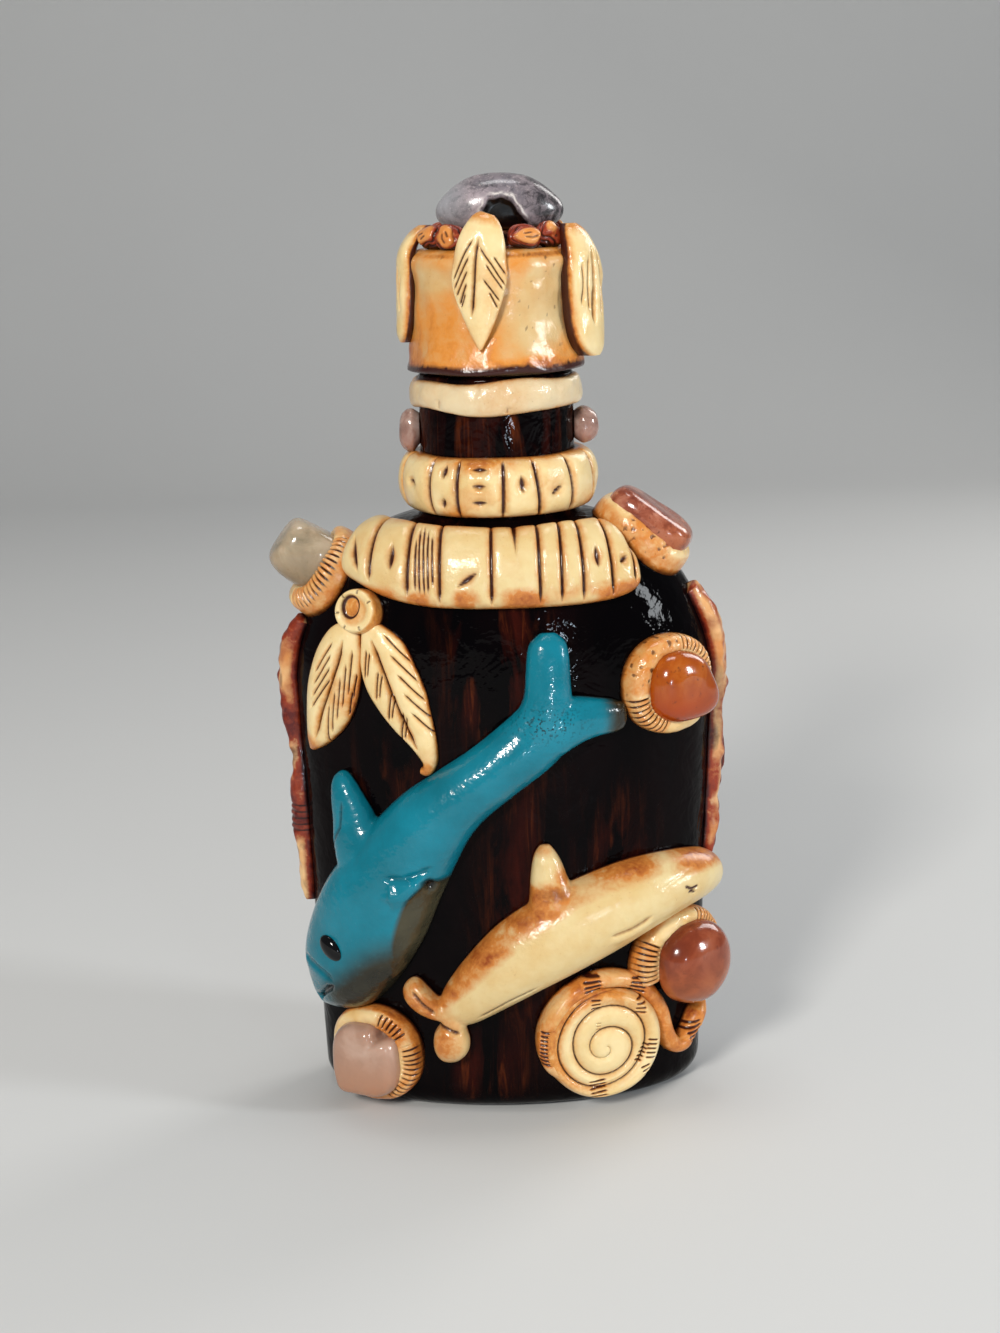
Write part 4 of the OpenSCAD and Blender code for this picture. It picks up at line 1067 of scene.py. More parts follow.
def right_vine():
    def colour(along, side):
        lower = ramp(along, 22, 28)
        # Above the parting, pale edges are a painted highlight
        upper_colour = 0.42 - 0.5 * ramp(np.abs(side), 0.9, 1.9)
        lower_colour = 0.5 + 0.5 * ramp(side, -0.3, 0.5)
        return (1 - lower) * upper_colour + lower * lower_colour
    stations = [
        (49.5, 19.6, 0.8, 0.6), (54, 13, 1.2, 1), (57.2, 6, 1.25, 1), (58.2, -2, 1, 1),
        (57.8, -10, 0.95, 0.9), (57.4, -18, 1.05, 1), (57, -26, 1.05, 0.9), (56.2, -33, 0.95, 0.85),
        (55.4, -39, 0.9, 0.8), (54.4, -43.4, 0.75, 0.65), (53.8, -45.4, 0.4, 0.35)]
    return rope("right_vine_clay", stations, "vine_right", 85, colour, parted=24)


# The two dolphins

BLUE_H, CREAM_H = 10.5, 9.0
BLUE_EYE = (-37.3, 41.9)


def figure(solids, voxel):
    """One soft skin over overlapping flat solids: its points as arc, height and distance off the glue."""
    mesh = mesh_of("figure_parts", *joined([solid.rings() for solid in solids]))
    parts = added("figure_parts", mesh)
    skin = parts.modifiers.new("skin", "REMESH")
    skin.mode = "VOXEL"
    skin.voxel_size = voxel
    soft = parts.modifiers.new("soft", "SMOOTH")
    soft.factor = 0.5
    soft.iterations = 8
    result = parts.evaluated_get(bpy.context.evaluated_depsgraph_get()).to_mesh()
    found = np.array([v.co for v in result.vertices])
    quads = [list(p.vertices) for p in result.polygons]
    bpy.data.objects.remove(parts)
    bpy.data.meshes.remove(mesh)
    return found, quads


def fin(rows, height):
    """A fin from rows of two edge points and a share of the figure's height."""
    rows = np.array(rows, float)
    rows[:, 4] *= height
    return Relief(smooth(rows, 10), flat, across=30, fullness=0.5)


def body(stations, height):
    """A trunk from stations of a point, a half width and a share of the figure's height."""
    rows = np.array(stations, float)
    rows[:, 3] *= height
    return Relief(lines_of(rows, 10), flat, across=40, fullness=0.85)


def blue_dolphin():
    trunk = [
        (-46.6, 24, 1.8, 0.26), (-45.2, 25.8, 4, 0.44), (-42.8, 29, 8, 0.68), (-39.9, 33.3, 10.8, 0.86),
        (-36, 40.5, 12.6, 0.94), (-30.5, 50.6, 13, 1), (-24.6, 60.3, 11.4, 0.95), (-17.5, 70.5, 9.5, 0.9),
        (-11, 77, 7.8, 0.82), (-3.5, 82.8, 7.2, 0.74), (4, 88.6, 7.4, 0.64), (8.4, 92.6, 7.4, 0.5)]
    dorsal_fin = [
        (-38, 57, -26, 68, 0.72), (-39.6, 65.2, -29.4, 70.5, 0.6), (-39.9, 70.4, -30.8, 73.2, 0.52),
        (-40.3, 75, -33, 76.6, 0.46), (-40.4, 78.8, -34.8, 79.4, 0.38), (-39.8, 80.9, -36.2, 81.1, 0.28),
        (-38.6, 82, -37.3, 82, 0.14)]
    upper_fluke = [
        (-3, 90, 14, 88, 0.6), (2, 96, 15.2, 97.4, 0.56), (4.2, 100.2, 14.8, 100.8, 0.52),
        (4.8, 105.2, 14.6, 104.8, 0.48), (5.2, 110, 14.4, 109.4, 0.43), (6, 112.4, 13.7, 112.4, 0.36),
        (8.2, 114.4, 11.6, 114.4, 0.18)]
    right_fluke = [
        (5, 97, 6, 82.4, 0.6), (11, 99.6, 12, 86.6, 0.56), (15.4, 100, 16.6, 89.3, 0.5),
        (20.2, 99.4, 20.6, 90.6, 0.44), (24.6, 98.5, 25, 91, 0.34), (27, 97.6, 27, 91.8, 0.22)]
    fins = [fin(rows, BLUE_H) for rows in (dorsal_fin, upper_fluke, right_fluke)]
    points, quads = figure([body(trunk, BLUE_H)] + fins, 0.38)
    a, b, off = points.T
    top = ramp(off, 1.0, 4.0)

    # Carved lines and hollows, and the flipper's raised lobe
    lobe = stroke(a, b, [(-24.6, 56), (-21.4, 56.4), (-18.4, 59.6)], 2.4)
    crease = stroke(a, b, [(-25, 60.4), (-20.7, 60.6), (-17.9, 61.8), (-16, 63)], 0.8)
    mouth = stroke(a, b, [(-45.6, 25.4), (-41.2, 29.2), (-38, 32)], 0.75)
    brow = stroke(a, b, [(-46, 37), (-42.6, 36.4), (-39.6, 35), (-37.8, 33.6)], 0.9)
    fin_line = stroke(a, b, [(-36.3, 75.6), (-36.5, 69.8), (-38.6, 66)], 0.4)
    # A dent under the flipper's lobe; its dark colour is a painted shadow
    pit = spot_mask(a, b, (-16.6, 58.6), (1.1, 1.6))
    beak = spot_mask(a, b, (-43.4, 31.6), (3.2, 3.2))
    socket = spot_mask(a, b, BLUE_EYE, (2.5, 3.4))

    # The olive belly, right of a line given by its heights and arcs: stain and painted shade on the side
    # that falls away to the glass. The dark chin is painted shade, and the tail end is dark olive
    belly_line = np.interp(b, [33, 36, 38.6, 43.2, 47.5, 51.9, 55.3, 58.4],
                           [-21, -24.6, -25.6, -25, -23.8, -22.4, -20.8, -18])
    jaw_line = np.interp(b, [30, 34.1, 38.6, 43.2], [-36, -31.6, -27.6, -25])
    belly = ramp(a - belly_line, -0.8, 0.8) * fall(b, 58, 60.5)
    chin = 0.95 * ramp(a - jaw_line, -11, 1) * fall(b, 36, 50)
    tail_end = ramp(a, 19.5, 26)

    cuts = 0.9 * crease + 1.4 * pit + belly + 0.8 * brow + 0.6 * beak + 0.5 * socket + 0.5 * fin_line
    off = off + top * (1.5 * lobe - cuts) - 1.9 * mouth * ramp(off, 0.5, 2)
    off = np.maximum(off, -SINK)
    # Olive along the low edges of the lower body and head: painted shade
    rim = 0.9 * fall(off, 0.2, 2.6) * ramp(a * 0.7 - b * 0.7, -64, -54)
    # Dark in the cuts and mouth, painted shade in the brow groove and on the chin, and dark wash with
    # painted shade at the foot
    stain_and_shade = most(pit * top, mouth, 0.35 * crease * top, 0.35 * brow * top, 0.25 * beak, 0.6 * fin_line,
                 0.95 * fall(off, 0.1, 1.3), 0.55 * tail_end, 0.34 * chin)
    parts = ("body", "dorsal_fin", "flipper", "upper_fluke", "right_fluke")
    nodes = [f"blue_dolphin_{part}" for part in parts]
    specks = spot_mask(a, b, (9, 95), (7, 3.4))
    return piece("blue_dolphin_clay", on_glass(a, b, off), TEAL, "clay_teal", nodes, faces=quads,
                 stain_and_shade=stain_and_shade, warm=most(belly, chin, rim, tail_end), specks=specks)


def blue_dolphin_eye():
    half_wide, half_tall, half_thick = 1.95, 3.2, 1.4
    lean = math.radians(30)
    lift, turn = np.meshgrid(np.linspace(-1.45, 1.45, 21), full_turn(40), indexing="ij")
    wide, tall = half_wide * np.cos(turn) * np.cos(lift), half_tall * np.sin(turn) * np.cos(lift)
    bead = on_glass(BLUE_EYE[0] + wide * math.cos(lean) - tall * math.sin(lean),
                    BLUE_EYE[1] + wide * math.sin(lean) + tall * math.cos(lean),
                    BLUE_H - 0.9 + half_thick * np.sin(lift))
    return piece("blue_dolphin_bead", bead, BEAD, "eye_black", ["blue_dolphin_eye"])


def cream_dolphin():
    trunk = [
        (-15.4, 24, 2.4, 0.4), (-14, 25.2, 3.8, 0.5), (-11, 27.9, 5.8, 0.65), (-4.2, 34, 7.9, 0.85),
        (3.6, 40, 9.5, 0.95), (11.8, 44.6, 10, 1), (20, 48.3, 9.9, 1), (29, 51.6, 9, 1),
        (38, 53.3, 7.5, 0.92), (45.6, 53.4, 6.2, 0.82), (50.4, 52.4, 4.9, 0.64), (53.2, 51.6, 2.6, 0.36)]
    dorsal_fin = [
        (3.4, 44, 14.6, 48.6, 0.9), (4.5, 53.6, 13.8, 56, 0.68), (4.8, 57.6, 13, 58.4, 0.58),
        (5.2, 61, 12, 61.4, 0.5), (5.9, 63.8, 10.8, 63.8, 0.4), (7.2, 65.8, 9.4, 65.8, 0.2)]
    left_fluke = [
        (-13.6, 23.4, -13.8, 27.4, 0.5), (-16.4, 23.8, -16.8, 29.2, 0.54), (-18.6, 24.2, -19, 31.4, 0.54),
        (-21.6, 25.4, -21.4, 33.6, 0.48), (-24, 27.4, -23.4, 33.2, 0.36), (-25.2, 29.4, -24.8, 31.6, 0.16)]
    lower_fluke = [
        (-10.6, 25.4, -15.2, 26.2, 0.55), (-10.4, 21.8, -16.2, 23, 0.6), (-9.7, 19.2, -17.6, 20.8, 0.66),
        (-10, 16.4, -17.8, 17.2, 0.62), (-11.6, 14.4, -16.8, 14.6, 0.46), (-13.2, 13.4, -15.2, 13.4, 0.2)]
    fins = [fin(rows, CREAM_H) for rows in (dorsal_fin, left_fluke, lower_fluke)]
    points, quads = figure([body(trunk, CREAM_H)] + fins, 0.4)
    a, b, off = points.T
    top = ramp(off, 0.8, 2.5)

    # Carved lines and the flipper's raised flap
    eye = most(stroke(a, b, [(37.2, 54.2), (38.8, 53.2), (40.6, 53.6)], 0.36),
               stroke(a, b, [(38, 52.8), (39.8, 52.2)], 0.3))
    flap = stroke(a, b, [(21, 43.6), (25.4, 44.8), (29.4, 47)], 1.3)
    flipper = stroke(a, b, [(20.6, 45.2), (25.2, 46.4), (29.6, 48.8)], 0.5)
    tail = stroke(a, b, [(-7.4, 25.8), (-0.6, 30.4), (5.6, 33.6)], 0.35)
    smile = stroke(a, b, [(31.6, 54.6), (35, 56), (39.4, 57.6)], 0.4)
    fluke = stroke(a, b, [(-16.6, 26.4), (-19.6, 28.6), (-22, 31.2)], 0.5)
    seam = stroke(a, b, [(-17, 23.4), (-14.4, 23.2), (-11.4, 21.8)], 0.5)
    cuts = 0.5 * eye + 0.5 * flipper + 0.35 * tail + 0.8 * fluke + 0.8 * seam + 0.2 * smile
    off = np.maximum(off + top * (0.5 * flap - cuts), -SINK)

    # The streaked warm back, above the trunk's middle line
    middle = np.interp(a, [-15, 4, 20, 38, 46, 54], [24, 40, 48, 53.4, 53.2, 51.4])
    edge = np.interp(a, [-15, 2, 14, 38], [1.0, 3.6, 5.8, 4.0])
    off_fin = 1 - ramp(b, 56, 58) * fall(a, 13, 16) * ramp(a, 2, 4)
    streaks = 0.66 + 0.34 * lumps(flat(0.35 * a, b, 0), 2.2, 93)
    back = ramp(b - middle, edge, edge + 5) * off_fin * streaks * fall(a, 34, 44)
    head = (0.75 + 0.2 * streaks) * ramp(a, 32, 42) * ramp(b - middle, 1.8, 5)

    fin_foot = spot_mask(a, b, (9.6, 55.4), (5.6, 2.6))
    fin_edge = spot_mask(a, b, (11.6, 58.6), (2, 4)) + 0.7 * spot_mask(a, b, (7.4, 65), (3, 1.6))
    carved = top * most(eye, 0.5 * flipper, 0.6 * tail, 0.75 * fluke, 0.8 * seam)
    # Dark in carved lines, and dark wash with painted shade at the foot
    stain_and_shade = most(carved, 0.9 * fall(off, 0.1, 1.3), 0.42 * fin_foot, 0.3 * fin_edge)
    warm = most(back, head, 0.8 * fin_foot, 0.7 * fin_edge, 0.7 * ramp(a, 48, 53) * ramp(b, 51, 54),
                0.8 * spot_mask(a, b, (-20, 27), (6, 6)), 0.7 * spot_mask(a, b, (-14.6, 20), (4, 7)),
                0.35 * flipper, 0.5 * fall(off, 0.6, 2.6))
    nodes = [f"cream_dolphin_{part}" for part in ("body", "dorsal_fin", "left_fluke", "lower_fluke")]
    return piece("cream_dolphin_clay", on_glass(a, b, off), CREAM, "clay_ivory", nodes, faces=quads,
                 stain_and_shade=stain_and_shade, warm=warm)


# The spiral and its strap

SPIRAL_AT = np.array([19.5, 17.4])
# The carved coil, by turns from its middle and how far out it lies there
SPIRAL_TURNS = [
    (0, 0.6), (0.26, 2.8), (0.7, 4.1), (1.0, 6.1), (1.25, 7.2), (1.5, 7.3), (1.8, 9.9), (2.05, 8.7),
    (2.3, 10.3), (2.44, 10.8), (2.5, 10.9), (2.56, 11.0), (2.62, 11.5), (2.69, 12.3), (2.75, 13.0),
    (2.81, 13.6)]


def comb(middle, length, tilt, count, pitch):
    """Short parallel strokes, one above the other, as a comb presses them."""
    way = np.array([math.cos(math.radians(tilt)), math.sin(math.radians(tilt))])
    step = pitch * np.array([-way[1], way[0]])
    return row_of(np.array(middle) - way * length / 2 - step * (count - 1) / 2, step, way * length, count)


def spiral_disc():
    coil = [(0.6 + r * math.cos(2 * math.pi * k), -0.3 - r * math.sin(2 * math.pi * k))
            for k, r in smooth(SPIRAL_TURNS, 10)]
    combs = (comb((-1.4, 10.2), 2.4, 0, 3, 1.0) + comb((8.6, 8.4), 2.4, -5, 4, 1.05)
             + comb((10.9, -2.6), 2.2, -8, 5, 1.1) + comb((8.7, -3.2), 1.7, -26, 5, 1.0)
             + comb((9.8, -7.6), 2.2, 20, 3, 1.0) + comb((-1, -10.6), 4.2, 6, 5, 0.95))
    faint = comb((-0.9, 4.9), 1.2, 0, 3, 0.8)

    def face(x, y):
        groove, valley = stroke(x, y, coil, 0.26), stroke(x, y, coil, 1.2)
        cut = most(strokes(x, y, combs, 0.23), 0.6 * strokes(x, y, faint, 0.15))
        outer, upper_left = ramp(np.hypot(x, y), 8.6, 12.6), 0.5 + 0.5 * np.cos(np.arctan2(y, x) - 2.5)
        warm = 0.8 * outer * upper_left + 0.3 * valley + 0.6 * cut
        return 1 - 0.12 * groove - 0.13 * valley - 0.1 * cut, most(0.74 * groove, 0.9 * cut), warm
    return disc("spiral_disc_clay", "spiral_disc", SPIRAL_AT, radius=13.7, height=5.2, face=face,
                seed=91, follow=0.6, rings=80, sides=420, spread=1.5)


def spiral_strap():
    """The clay rope's outer turn: it lies along the top of the disc, then dips and rises to the stone."""
    # Angle, reach, half width and thickness along the turn, then places along the dip
    turns = [(224, 11.2, 1.2, 4.4), (204, 11.9, 1.8, 5.3), (182, 12.2, 2.1, 5.7), (160, 12.5, 2.15, 5.8),
             (136, 13.0, 2.1, 5.7), (112, 13.8, 2.1, 5.2), (88, 15.0, 2.0, 4.5), (64, 15.7, 1.95, 4.1),
             (42, 15.9, 1.95, 3.9), (20, 16.0, 1.95, 3.9)]
    dip = [(17, -1.4), (18.9, -4.6), (21.4, -5.2), (24.2, -2.6), (27.2, 1.4)]
    path = [(reach * math.cos(math.radians(t)), reach * math.sin(math.radians(t)), half, thick)
            for t, reach, half, thick in turns]
    path += [(x, y, 1.95, 3.9) for x, y in dip] + [(29.4, 5, 0.8, 2.3)]
    stations = [(SPIRAL_AT[0] + x, SPIRAL_AT[1] + y, half, thick) for x, y, half, thick in path]
    strap = Relief(lines_of(stations, 24), on_glass, across=44, fullness=0.5)
    strap.roughen(amount=0.16, size=3.5, seed=95)
    combs = (comb((-12.2, 0.4), 3.2, -4, 9, 1.0) + comb((-1.8, 14.9), 4.2, 4, 4, 0.98)
             + comb((9, 13), 4.2, -16, 4, 0.98) + comb((24, -2.6), 4, 10, 5, 1.0))
    strap.carve(combs, depth=0.7, width=0.3, grid=(strap.a - SPIRAL_AT[0], strap.b - SPIRAL_AT[1]), halo=0.9)
    strap.wash(reach=0.9, amount=0.85, seed=96, warm=0.9)
    strap.tint(0.3 + 0.4 * bell(strap.along, 11, 5) + 0.4 * ramp(strap.along, 30, 44))
    return strap.piece("spiral_strap_clay", AMBER, "clay_amber", ["spiral_strap"])


# The stopper

def cap_shell():
    """The hand-formed cap: its hollow, its rim, its wall and its rounded top."""
    turn = full_turn(280)
    foot_r, edge_r = cap_r(CAP_Z), CAP_TOP_R - CAP_ROUND
    roof, bend_z = CAP_TOP - CAP_ROOF, CAP_TOP - CAP_ROUND
    profile = [(0.01, roof), (CAP_INNER, roof), (CAP_INNER, CAP_Z + 4), (CAP_INNER, CAP_Z),
               (foot_r - 1.2, CAP_Z), (foot_r - 0.2, CAP_Z + 0.1)]
    profile += [(cap_r(z), z) for z in np.linspace(CAP_Z + 0.5, bend_z, 50)]
    profile += [(edge_r + CAP_ROUND * math.cos(t), bend_z + CAP_ROUND * math.sin(t))
                for t in np.linspace(0.1, math.pi / 2, 14)]
    profile += [(edge_r * share, CAP_TOP) for share in (0.8, 0.6, 0.4, 0.2, 0.01)]
    r, z = np.array(profile).T[..., None]
    points = turned(r, turn, z)

    # Dents all over the outside, a roll under the rim, a waist and a wavy hem
    face = ramp(r, CAP_INNER + 1.5, CAP_INNER + 2.6) * ramp(z, CAP_Z - 1, CAP_Z + 1)
    dents = 0.45 * lumps(points, 7.0, 101) + 0.16 * lumps(points, 3.0, 102)
    roll, waist = 0.5 * bell(z, CAP_TOP - 3.4, 2.4), 0.5 * bell(z, CAP_Z + 0.5 * CAP_H, 6)
    wave = np.sin(3 * turn + 0.6) * np.sin(2 * turn + 1.1) + 0.4 * np.sin(7 * turn)
    hem = fall(z, CAP_Z + 1, CAP_Z + 6) * face
    moved = (dents + roll - waist - 0.2) * face + 0.35 * wave * hem
    points = points + moved[..., None] * turned(1, turn, 0)
    points[..., 2] += (0.3 + 0.3 * wave) * hem

    # Pale places on the warm clay, painted shadow at its foot, and dark wash under its rim and in its pits
    around = wrapped(turn)
    grain = lumps(points * np.array([1, 1, 0.2]), 2.6, 105)
    uneven = lumps(points, 7.0, 103)
    right_panel = spot_mask(around, z, (0.62, CAP_Z + 0.52 * CAP_H), (0.42, 0.4 * CAP_H))
    left_patch = spot_mask(around, z, (-0.72, CAP_TOP - 6.5), (0.36, 3.2))
    back_patch = ramp(np.abs(around), 1.5, 1.9) * ramp(uneven, -0.2, 0.8) * ramp(z, CAP_Z + 4, CAP_Z + 9)
    pale = np.clip(1.25 * right_panel + 0.9 * left_patch + 0.7 * back_patch, 0, 1)
    low, rim_line = fall(z, CAP_Z + 1.5, CAP_Z + 6), bell(z, CAP_TOP - 1.2, 0.9)
    warm = np.clip(0.6 + 0.16 * grain + 0.1 * uneven - 0.7 * pale, 0, 1)
    warm = np.maximum(warm, (0.85 + 0.15 * uneven) * np.maximum(low, 0.8 * rim_line))
    # Painted shadow along the foot, where the cap sits over the neck ring
    foot = fall(z + 0.4 * uneven, CAP_Z + 0.2, CAP_Z + 2.6)
    pits = ramp(lumps(points, 0.9, 106), 0.7, 1.1) * np.clip(right_panel + 0.4, 0, 1)
    stain_and_shade = 0.95 * foot + 0.35 * rim_line + 0.1 * uneven + 0.5 * pits * face
    return piece("cap_shell_clay", points, CAP_CLAY, "clay_amber", ["cap_shell"], "stopper",
                 stain_and_shade=stain_and_shade, warm=warm)


def cap_bed():
    """The bed under the top stone, its side gathered in folds."""
    turn = full_turn(90)
    low, high = span("cap_bed")
    foot, top, wide = low[2], high[2], high[0]
    profile = [(0.02, foot), (wide - 0.6, foot), (wide, foot + 0.6), (wide - 0.2, top - 1.4),
               (wide - 0.8, top - 0.4), (wide - 1.8, top), (wide * 0.5, top), (0.02, top)]
    r, z = smooth(profile, 5).T[..., None]
    points = turned(r, turn, z)
    side = ramp(r, wide * 0.6, wide - 0.8) * ramp(z, foot, foot + 0.8)
    folds = 0.45 * np.sin(26 * turn + 3 * z) + 0.5 * lumps(points, 3.0, 111)
    points = points + ((folds - 0.5) * side)[..., None] * turned(1, turn, 0)
    return piece("cap_bed_clay", points, RUST, "clay_rust", ["cap_bed"], "stopper",
                 stain_and_shade=side * np.clip(0.5 - 0.5 * folds, 0, 1), warm=np.full(folds.shape, 0.6))


PELLET_D = 5.6
PELLET_ANGLES = [-64, -37, 29, 58, 116, 142, 202, 228]
PELLET_CRACKS = [[(-0.5, 0.02), (-0.1, 0.16), (0.32, 0.1)], [(-0.1, -0.22), (0.4, -0.12)]]


def pellet(ball, angle, number):
    """Points, stain with painted shade under it, and warmth of a clay nut that looks outwards from a nest of
    red-brown folds.
    """
    ring_r = CAP_TOP_R - PELLET_D / 2 - 1.2
    middle = np.array([ring_r * math.sin(angle), -ring_r * math.cos(angle), CAP_TOP + PELLET_D / 2 - 0.3])
    out = np.array([math.sin(angle), -math.cos(angle), 0.3])
    out /= np.linalg.norm(out)
    along = np.array([math.cos(angle), math.sin(angle), 0])
    at = ball * PELLET_D / 2 + middle
    uneven, fine, twist = (lumps(at, size, seed + number)
                           for size, seed in ((2.4, 120), (1.2, 160), (2.4, 140)))
    facing = ball @ out + 0.22 * uneven + 0.08 * fine
    nest = fall(facing, 0.62, 0.9)
    folds = nest * ramp(np.sin(17 * facing + 2.2 * twist), 0.0, 0.8)
    across, up = ball @ along, ball[..., 2] - 0.15
    lean = 0.5 + 1.3 * number
    run, rise = across * math.cos(lean) + up * math.sin(lean), up * math.cos(lean) - across * math.sin(lean)
    creases = (1 - nest) * strokes(run, rise, PELLET_CRACKS, 0.08)
    bulge = 1 - (1 - np.clip((facing - 0.55) / 0.45, 0, 1)) ** 2
    made = ball * (1 + 0.16 * uneven + 0.05 * fine - 0.12 * folds - 0.14 * creases + 0.1 * bulge)[..., None]
    made = PELLET_D / 2 * (made + 0.5 * (made @ along)[..., None] * along)
    made[..., 2] = np.maximum(made[..., 2], 0.2 - PELLET_D / 2)
    # Painted shade on the nut's underside
    foot = fall(ball[..., 2], -0.8, -0.4)
    return made + middle, most(0.7 * folds, 0.7 * creases, 0.8 * foot), 0.2 + 0.6 * nest


def cap_pellets():
    pole = math.pi / 2 - 0.05
    tilt, turn = np.meshgrid(np.linspace(-pole, pole, 49), full_turn(96), indexing="ij")
    ball = np.stack([np.cos(tilt) * np.cos(turn), np.cos(tilt) * np.sin(turn), np.sin(tilt)], axis=-1)
    made = [pellet(ball, angle, number) for number, angle in enumerate(np.radians(PELLET_ANGLES))]
    grids, stain_and_shade, warm = zip(*made)
    points, faces = joined(grids)
    return piece("cap_pellets_clay", points, PELLET, "clay_rust", ["cap_pellets"], "stopper", faces,
                 stain_and_shade=np.array(stain_and_shade), warm=np.array(warm))


# Shape of the top stone's side, as shares of its outline and its height
TOP_RINGS = [(0.06, 0.0), (0.5, 0.0), (0.8, 0.05), (0.96, 0.18), (1.0, 0.36), (0.94, 0.58), (0.81, 0.75),
             (0.63, 0.87), (0.42, 0.95), (0.2, 0.99), (0.04, 1.0)]


def cap_top_stone():
    """A kidney-shaped pebble: its ends droop and its front is hollowed."""
    low, high = span("cap_top_stone")
    size, foot = high - low, np.array([(low[0] + high[0]) / 2, (low[1] + high[1]) / 2, low[2]])
    reach, level = smooth(TOP_RINGS, 14).T[..., None]
    x, y = (reach * side for side in outline(size, full_turn(320), power=2.0))
    z = level * size[2] - 0.14 * size[2] * ramp(np.abs(x) / size[0], 0.16, 0.52) * ramp(level, 0.2, 0.9)
    at = np.stack([x, y, z], axis=-1)
    wander = 0.07 * lumps(at, 3.0, 132) + 0.03 * lumps(at, 1.2, 133)
    depth = np.hypot((x - 0.4) / 6.0, (z + 1) / (0.68 * size[2] + 1)) + wander
    front = ramp(-y, -0.5, 3)
    # The hollow is dented in, and its mask paints it black as a shadow
    hollow = fall(depth, 0.7, 1.0) * front
    vein = bell(depth, 1.0, 0.026) * front * ramp(wander, -0.07, 0.03)
    at[..., 1] += 1.4 * hollow
    way = (at - [0, 0, size[2] / 2]) / size**2
    way /= np.linalg.norm(way, axis=-1, keepdims=True)
    points = foot + at
    points = points + way * (0.25 * lumps(points, 7.0, 131) * ramp(level, 0.02, 0.3))[..., None]
    return piece("cap_top_pebble", points, MAUVE, "stone_mauve", ["cap_top_stone"], "stopper",
                 hollow=hollow, ends=0.9 * ramp(-x, 5, 12), dusk=0.9 * ramp(x, 1, 11), vein=vein)


# Leaf outlines, as shares of the length, the half width and the thickness
LEAF_SHAPE = [(0.0, 0.32, 0.75), (0.03, 0.52, 0.95), (0.08, 0.67, 1.0), (0.18, 0.84, 1.0), (0.3, 0.95, 1.0),
              (0.45, 1.0, 1.0), (0.61, 0.84, 1.0), (0.75, 0.62, 0.95), (0.87, 0.38, 0.8), (0.95, 0.2, 0.6),
              (1.0, 0.07, 0.4)]
PADDLE_SHAPE = [(0.0, 0.3, 0.75), (0.04, 0.58, 0.95), (0.12, 0.82, 1.0), (0.3, 1.0, 1.0), (0.5, 1.0, 1.0),
                (0.75, 0.92, 0.95), (0.92, 0.66, 0.85), (1.0, 0.24, 0.55)]
# Leaf veins and the rib, as shares of the length and millimetres to the side of the middle line
FRONT_VEINS = [[(0.2, -1.7), (0.5, -5.7)], [(0.32, -2), (0.56, -5.4)], [(0.42, -2.2), (0.61, -4.8)],
               [(0.51, -2.4), (0.67, -4.1)], [(0.59, -2.8), (0.69, -3.8)],
               [(0.24, -0.1), (0.37, 2.8), (0.54, 5.9)], [(0.31, 3.2), (0.45, 6)],
               [(0.37, 1.6), (0.57, 5.3)], [(0.48, 1.1), (0.65, 4.5)], [(0.58, 2.3), (0.7, 4)]]
SIDE_VEINS = [[(0.24, -2.2), (0.45, -3), (0.66, -2.6)], [(0.3, -4.2), (0.6, -4.4)],
              [(0.22, 1.2), (0.46, 1.8), (0.7, 1.2)], [(0.34, 3), (0.62, 3.2)], [(0.42, 4.4), (0.72, 3.8)],
              [(0.48, -1.4), (0.74, -1.6)]]
LEAF_RIB = [(0.19, -0.5), (0.5, -0.7), (0.75, -1.4)]


def cap_leaf(side, turn, rise, length, seed, stand=0.0, early=0.0, lean=0.0, bend=0.03, shape=LEAF_SHAPE,
             veins=FRONT_VEINS):
    """A clay leaf over the cap's rim. It may stand off the cap, and its top may lean to the right."""
    half, thick, neck = 6.5, 2.8, 0.4
    stations = [(lean * max(0, 1 - s / neck) ** 1.5, CAP_TOP + rise - s * length, w * half, t * thick)
                for s, w, t in shape]
    leaf = Relief(lines_of(stations, 20), on_cap(turn, stand, early, bend), across=110, fullness=0.45)
    grid = (leaf.along, leaf.side)
    ripple = 0.4 * np.sin(4.2 * math.pi * leaf.along / length + seed) * ramp(np.abs(leaf.side), 2, 6)
    leaf.h = leaf.h + ripple * np.clip(leaf.h, 0, 1)
    rib, *lines = [[(s * length, at) for s, at in line] for line in [LEAF_RIB, *veins]]
    leaf.press(stroke(*grid, rib, 1.2), depth=0.3, stain_and_shade=0.0)
    leaf.carve([rib], depth=1.1, width=0.24, grid=grid, halo=0.45, spread=3.4)
    leaf.carve(lines, depth=0.8, width=0.2, grid=grid, halo=0.35, spread=3.2)
    # Darker where the leaf is low at its edges: dark wash and painted shade
    leaf.stain_and_shade = 0.85 * np.maximum(leaf.stain_and_shade, fall(leaf.h, 0.1, 0.8))
    leaf.roughen(amount=0.12, size=4.0, seed=seed).wash(reach=0.9, amount=0.9, seed=seed + 1, warm=0.35)
    leaf.tint(0.6 * fall(leaf.along, 0.02 * length, 0.12 * length))
    return leaf.piece(f"cap_leaf_{side}_clay", IVORY, "clay_ivory", [f"cap_leaf_{side}"], "stopper")


def cap_leaves():
    paddle = dict(shape=PADDLE_SHAPE, veins=SIDE_VEINS)
    cap_leaf("front", turn=-9, rise=7.8, length=28.8, seed=151, lean=2.0)
    cap_leaf("right", turn=73, rise=4.9, length=28.9, seed=153, stand=3.2, early=6.0, **paddle)
    cap_leaf("back", turn=171, rise=7.0, length=28.0, seed=155)
    cap_leaf("left", turn=-90, rise=5.1, length=25.7, seed=157, stand=0.3, early=4.0, bend=0.07, **paddle)


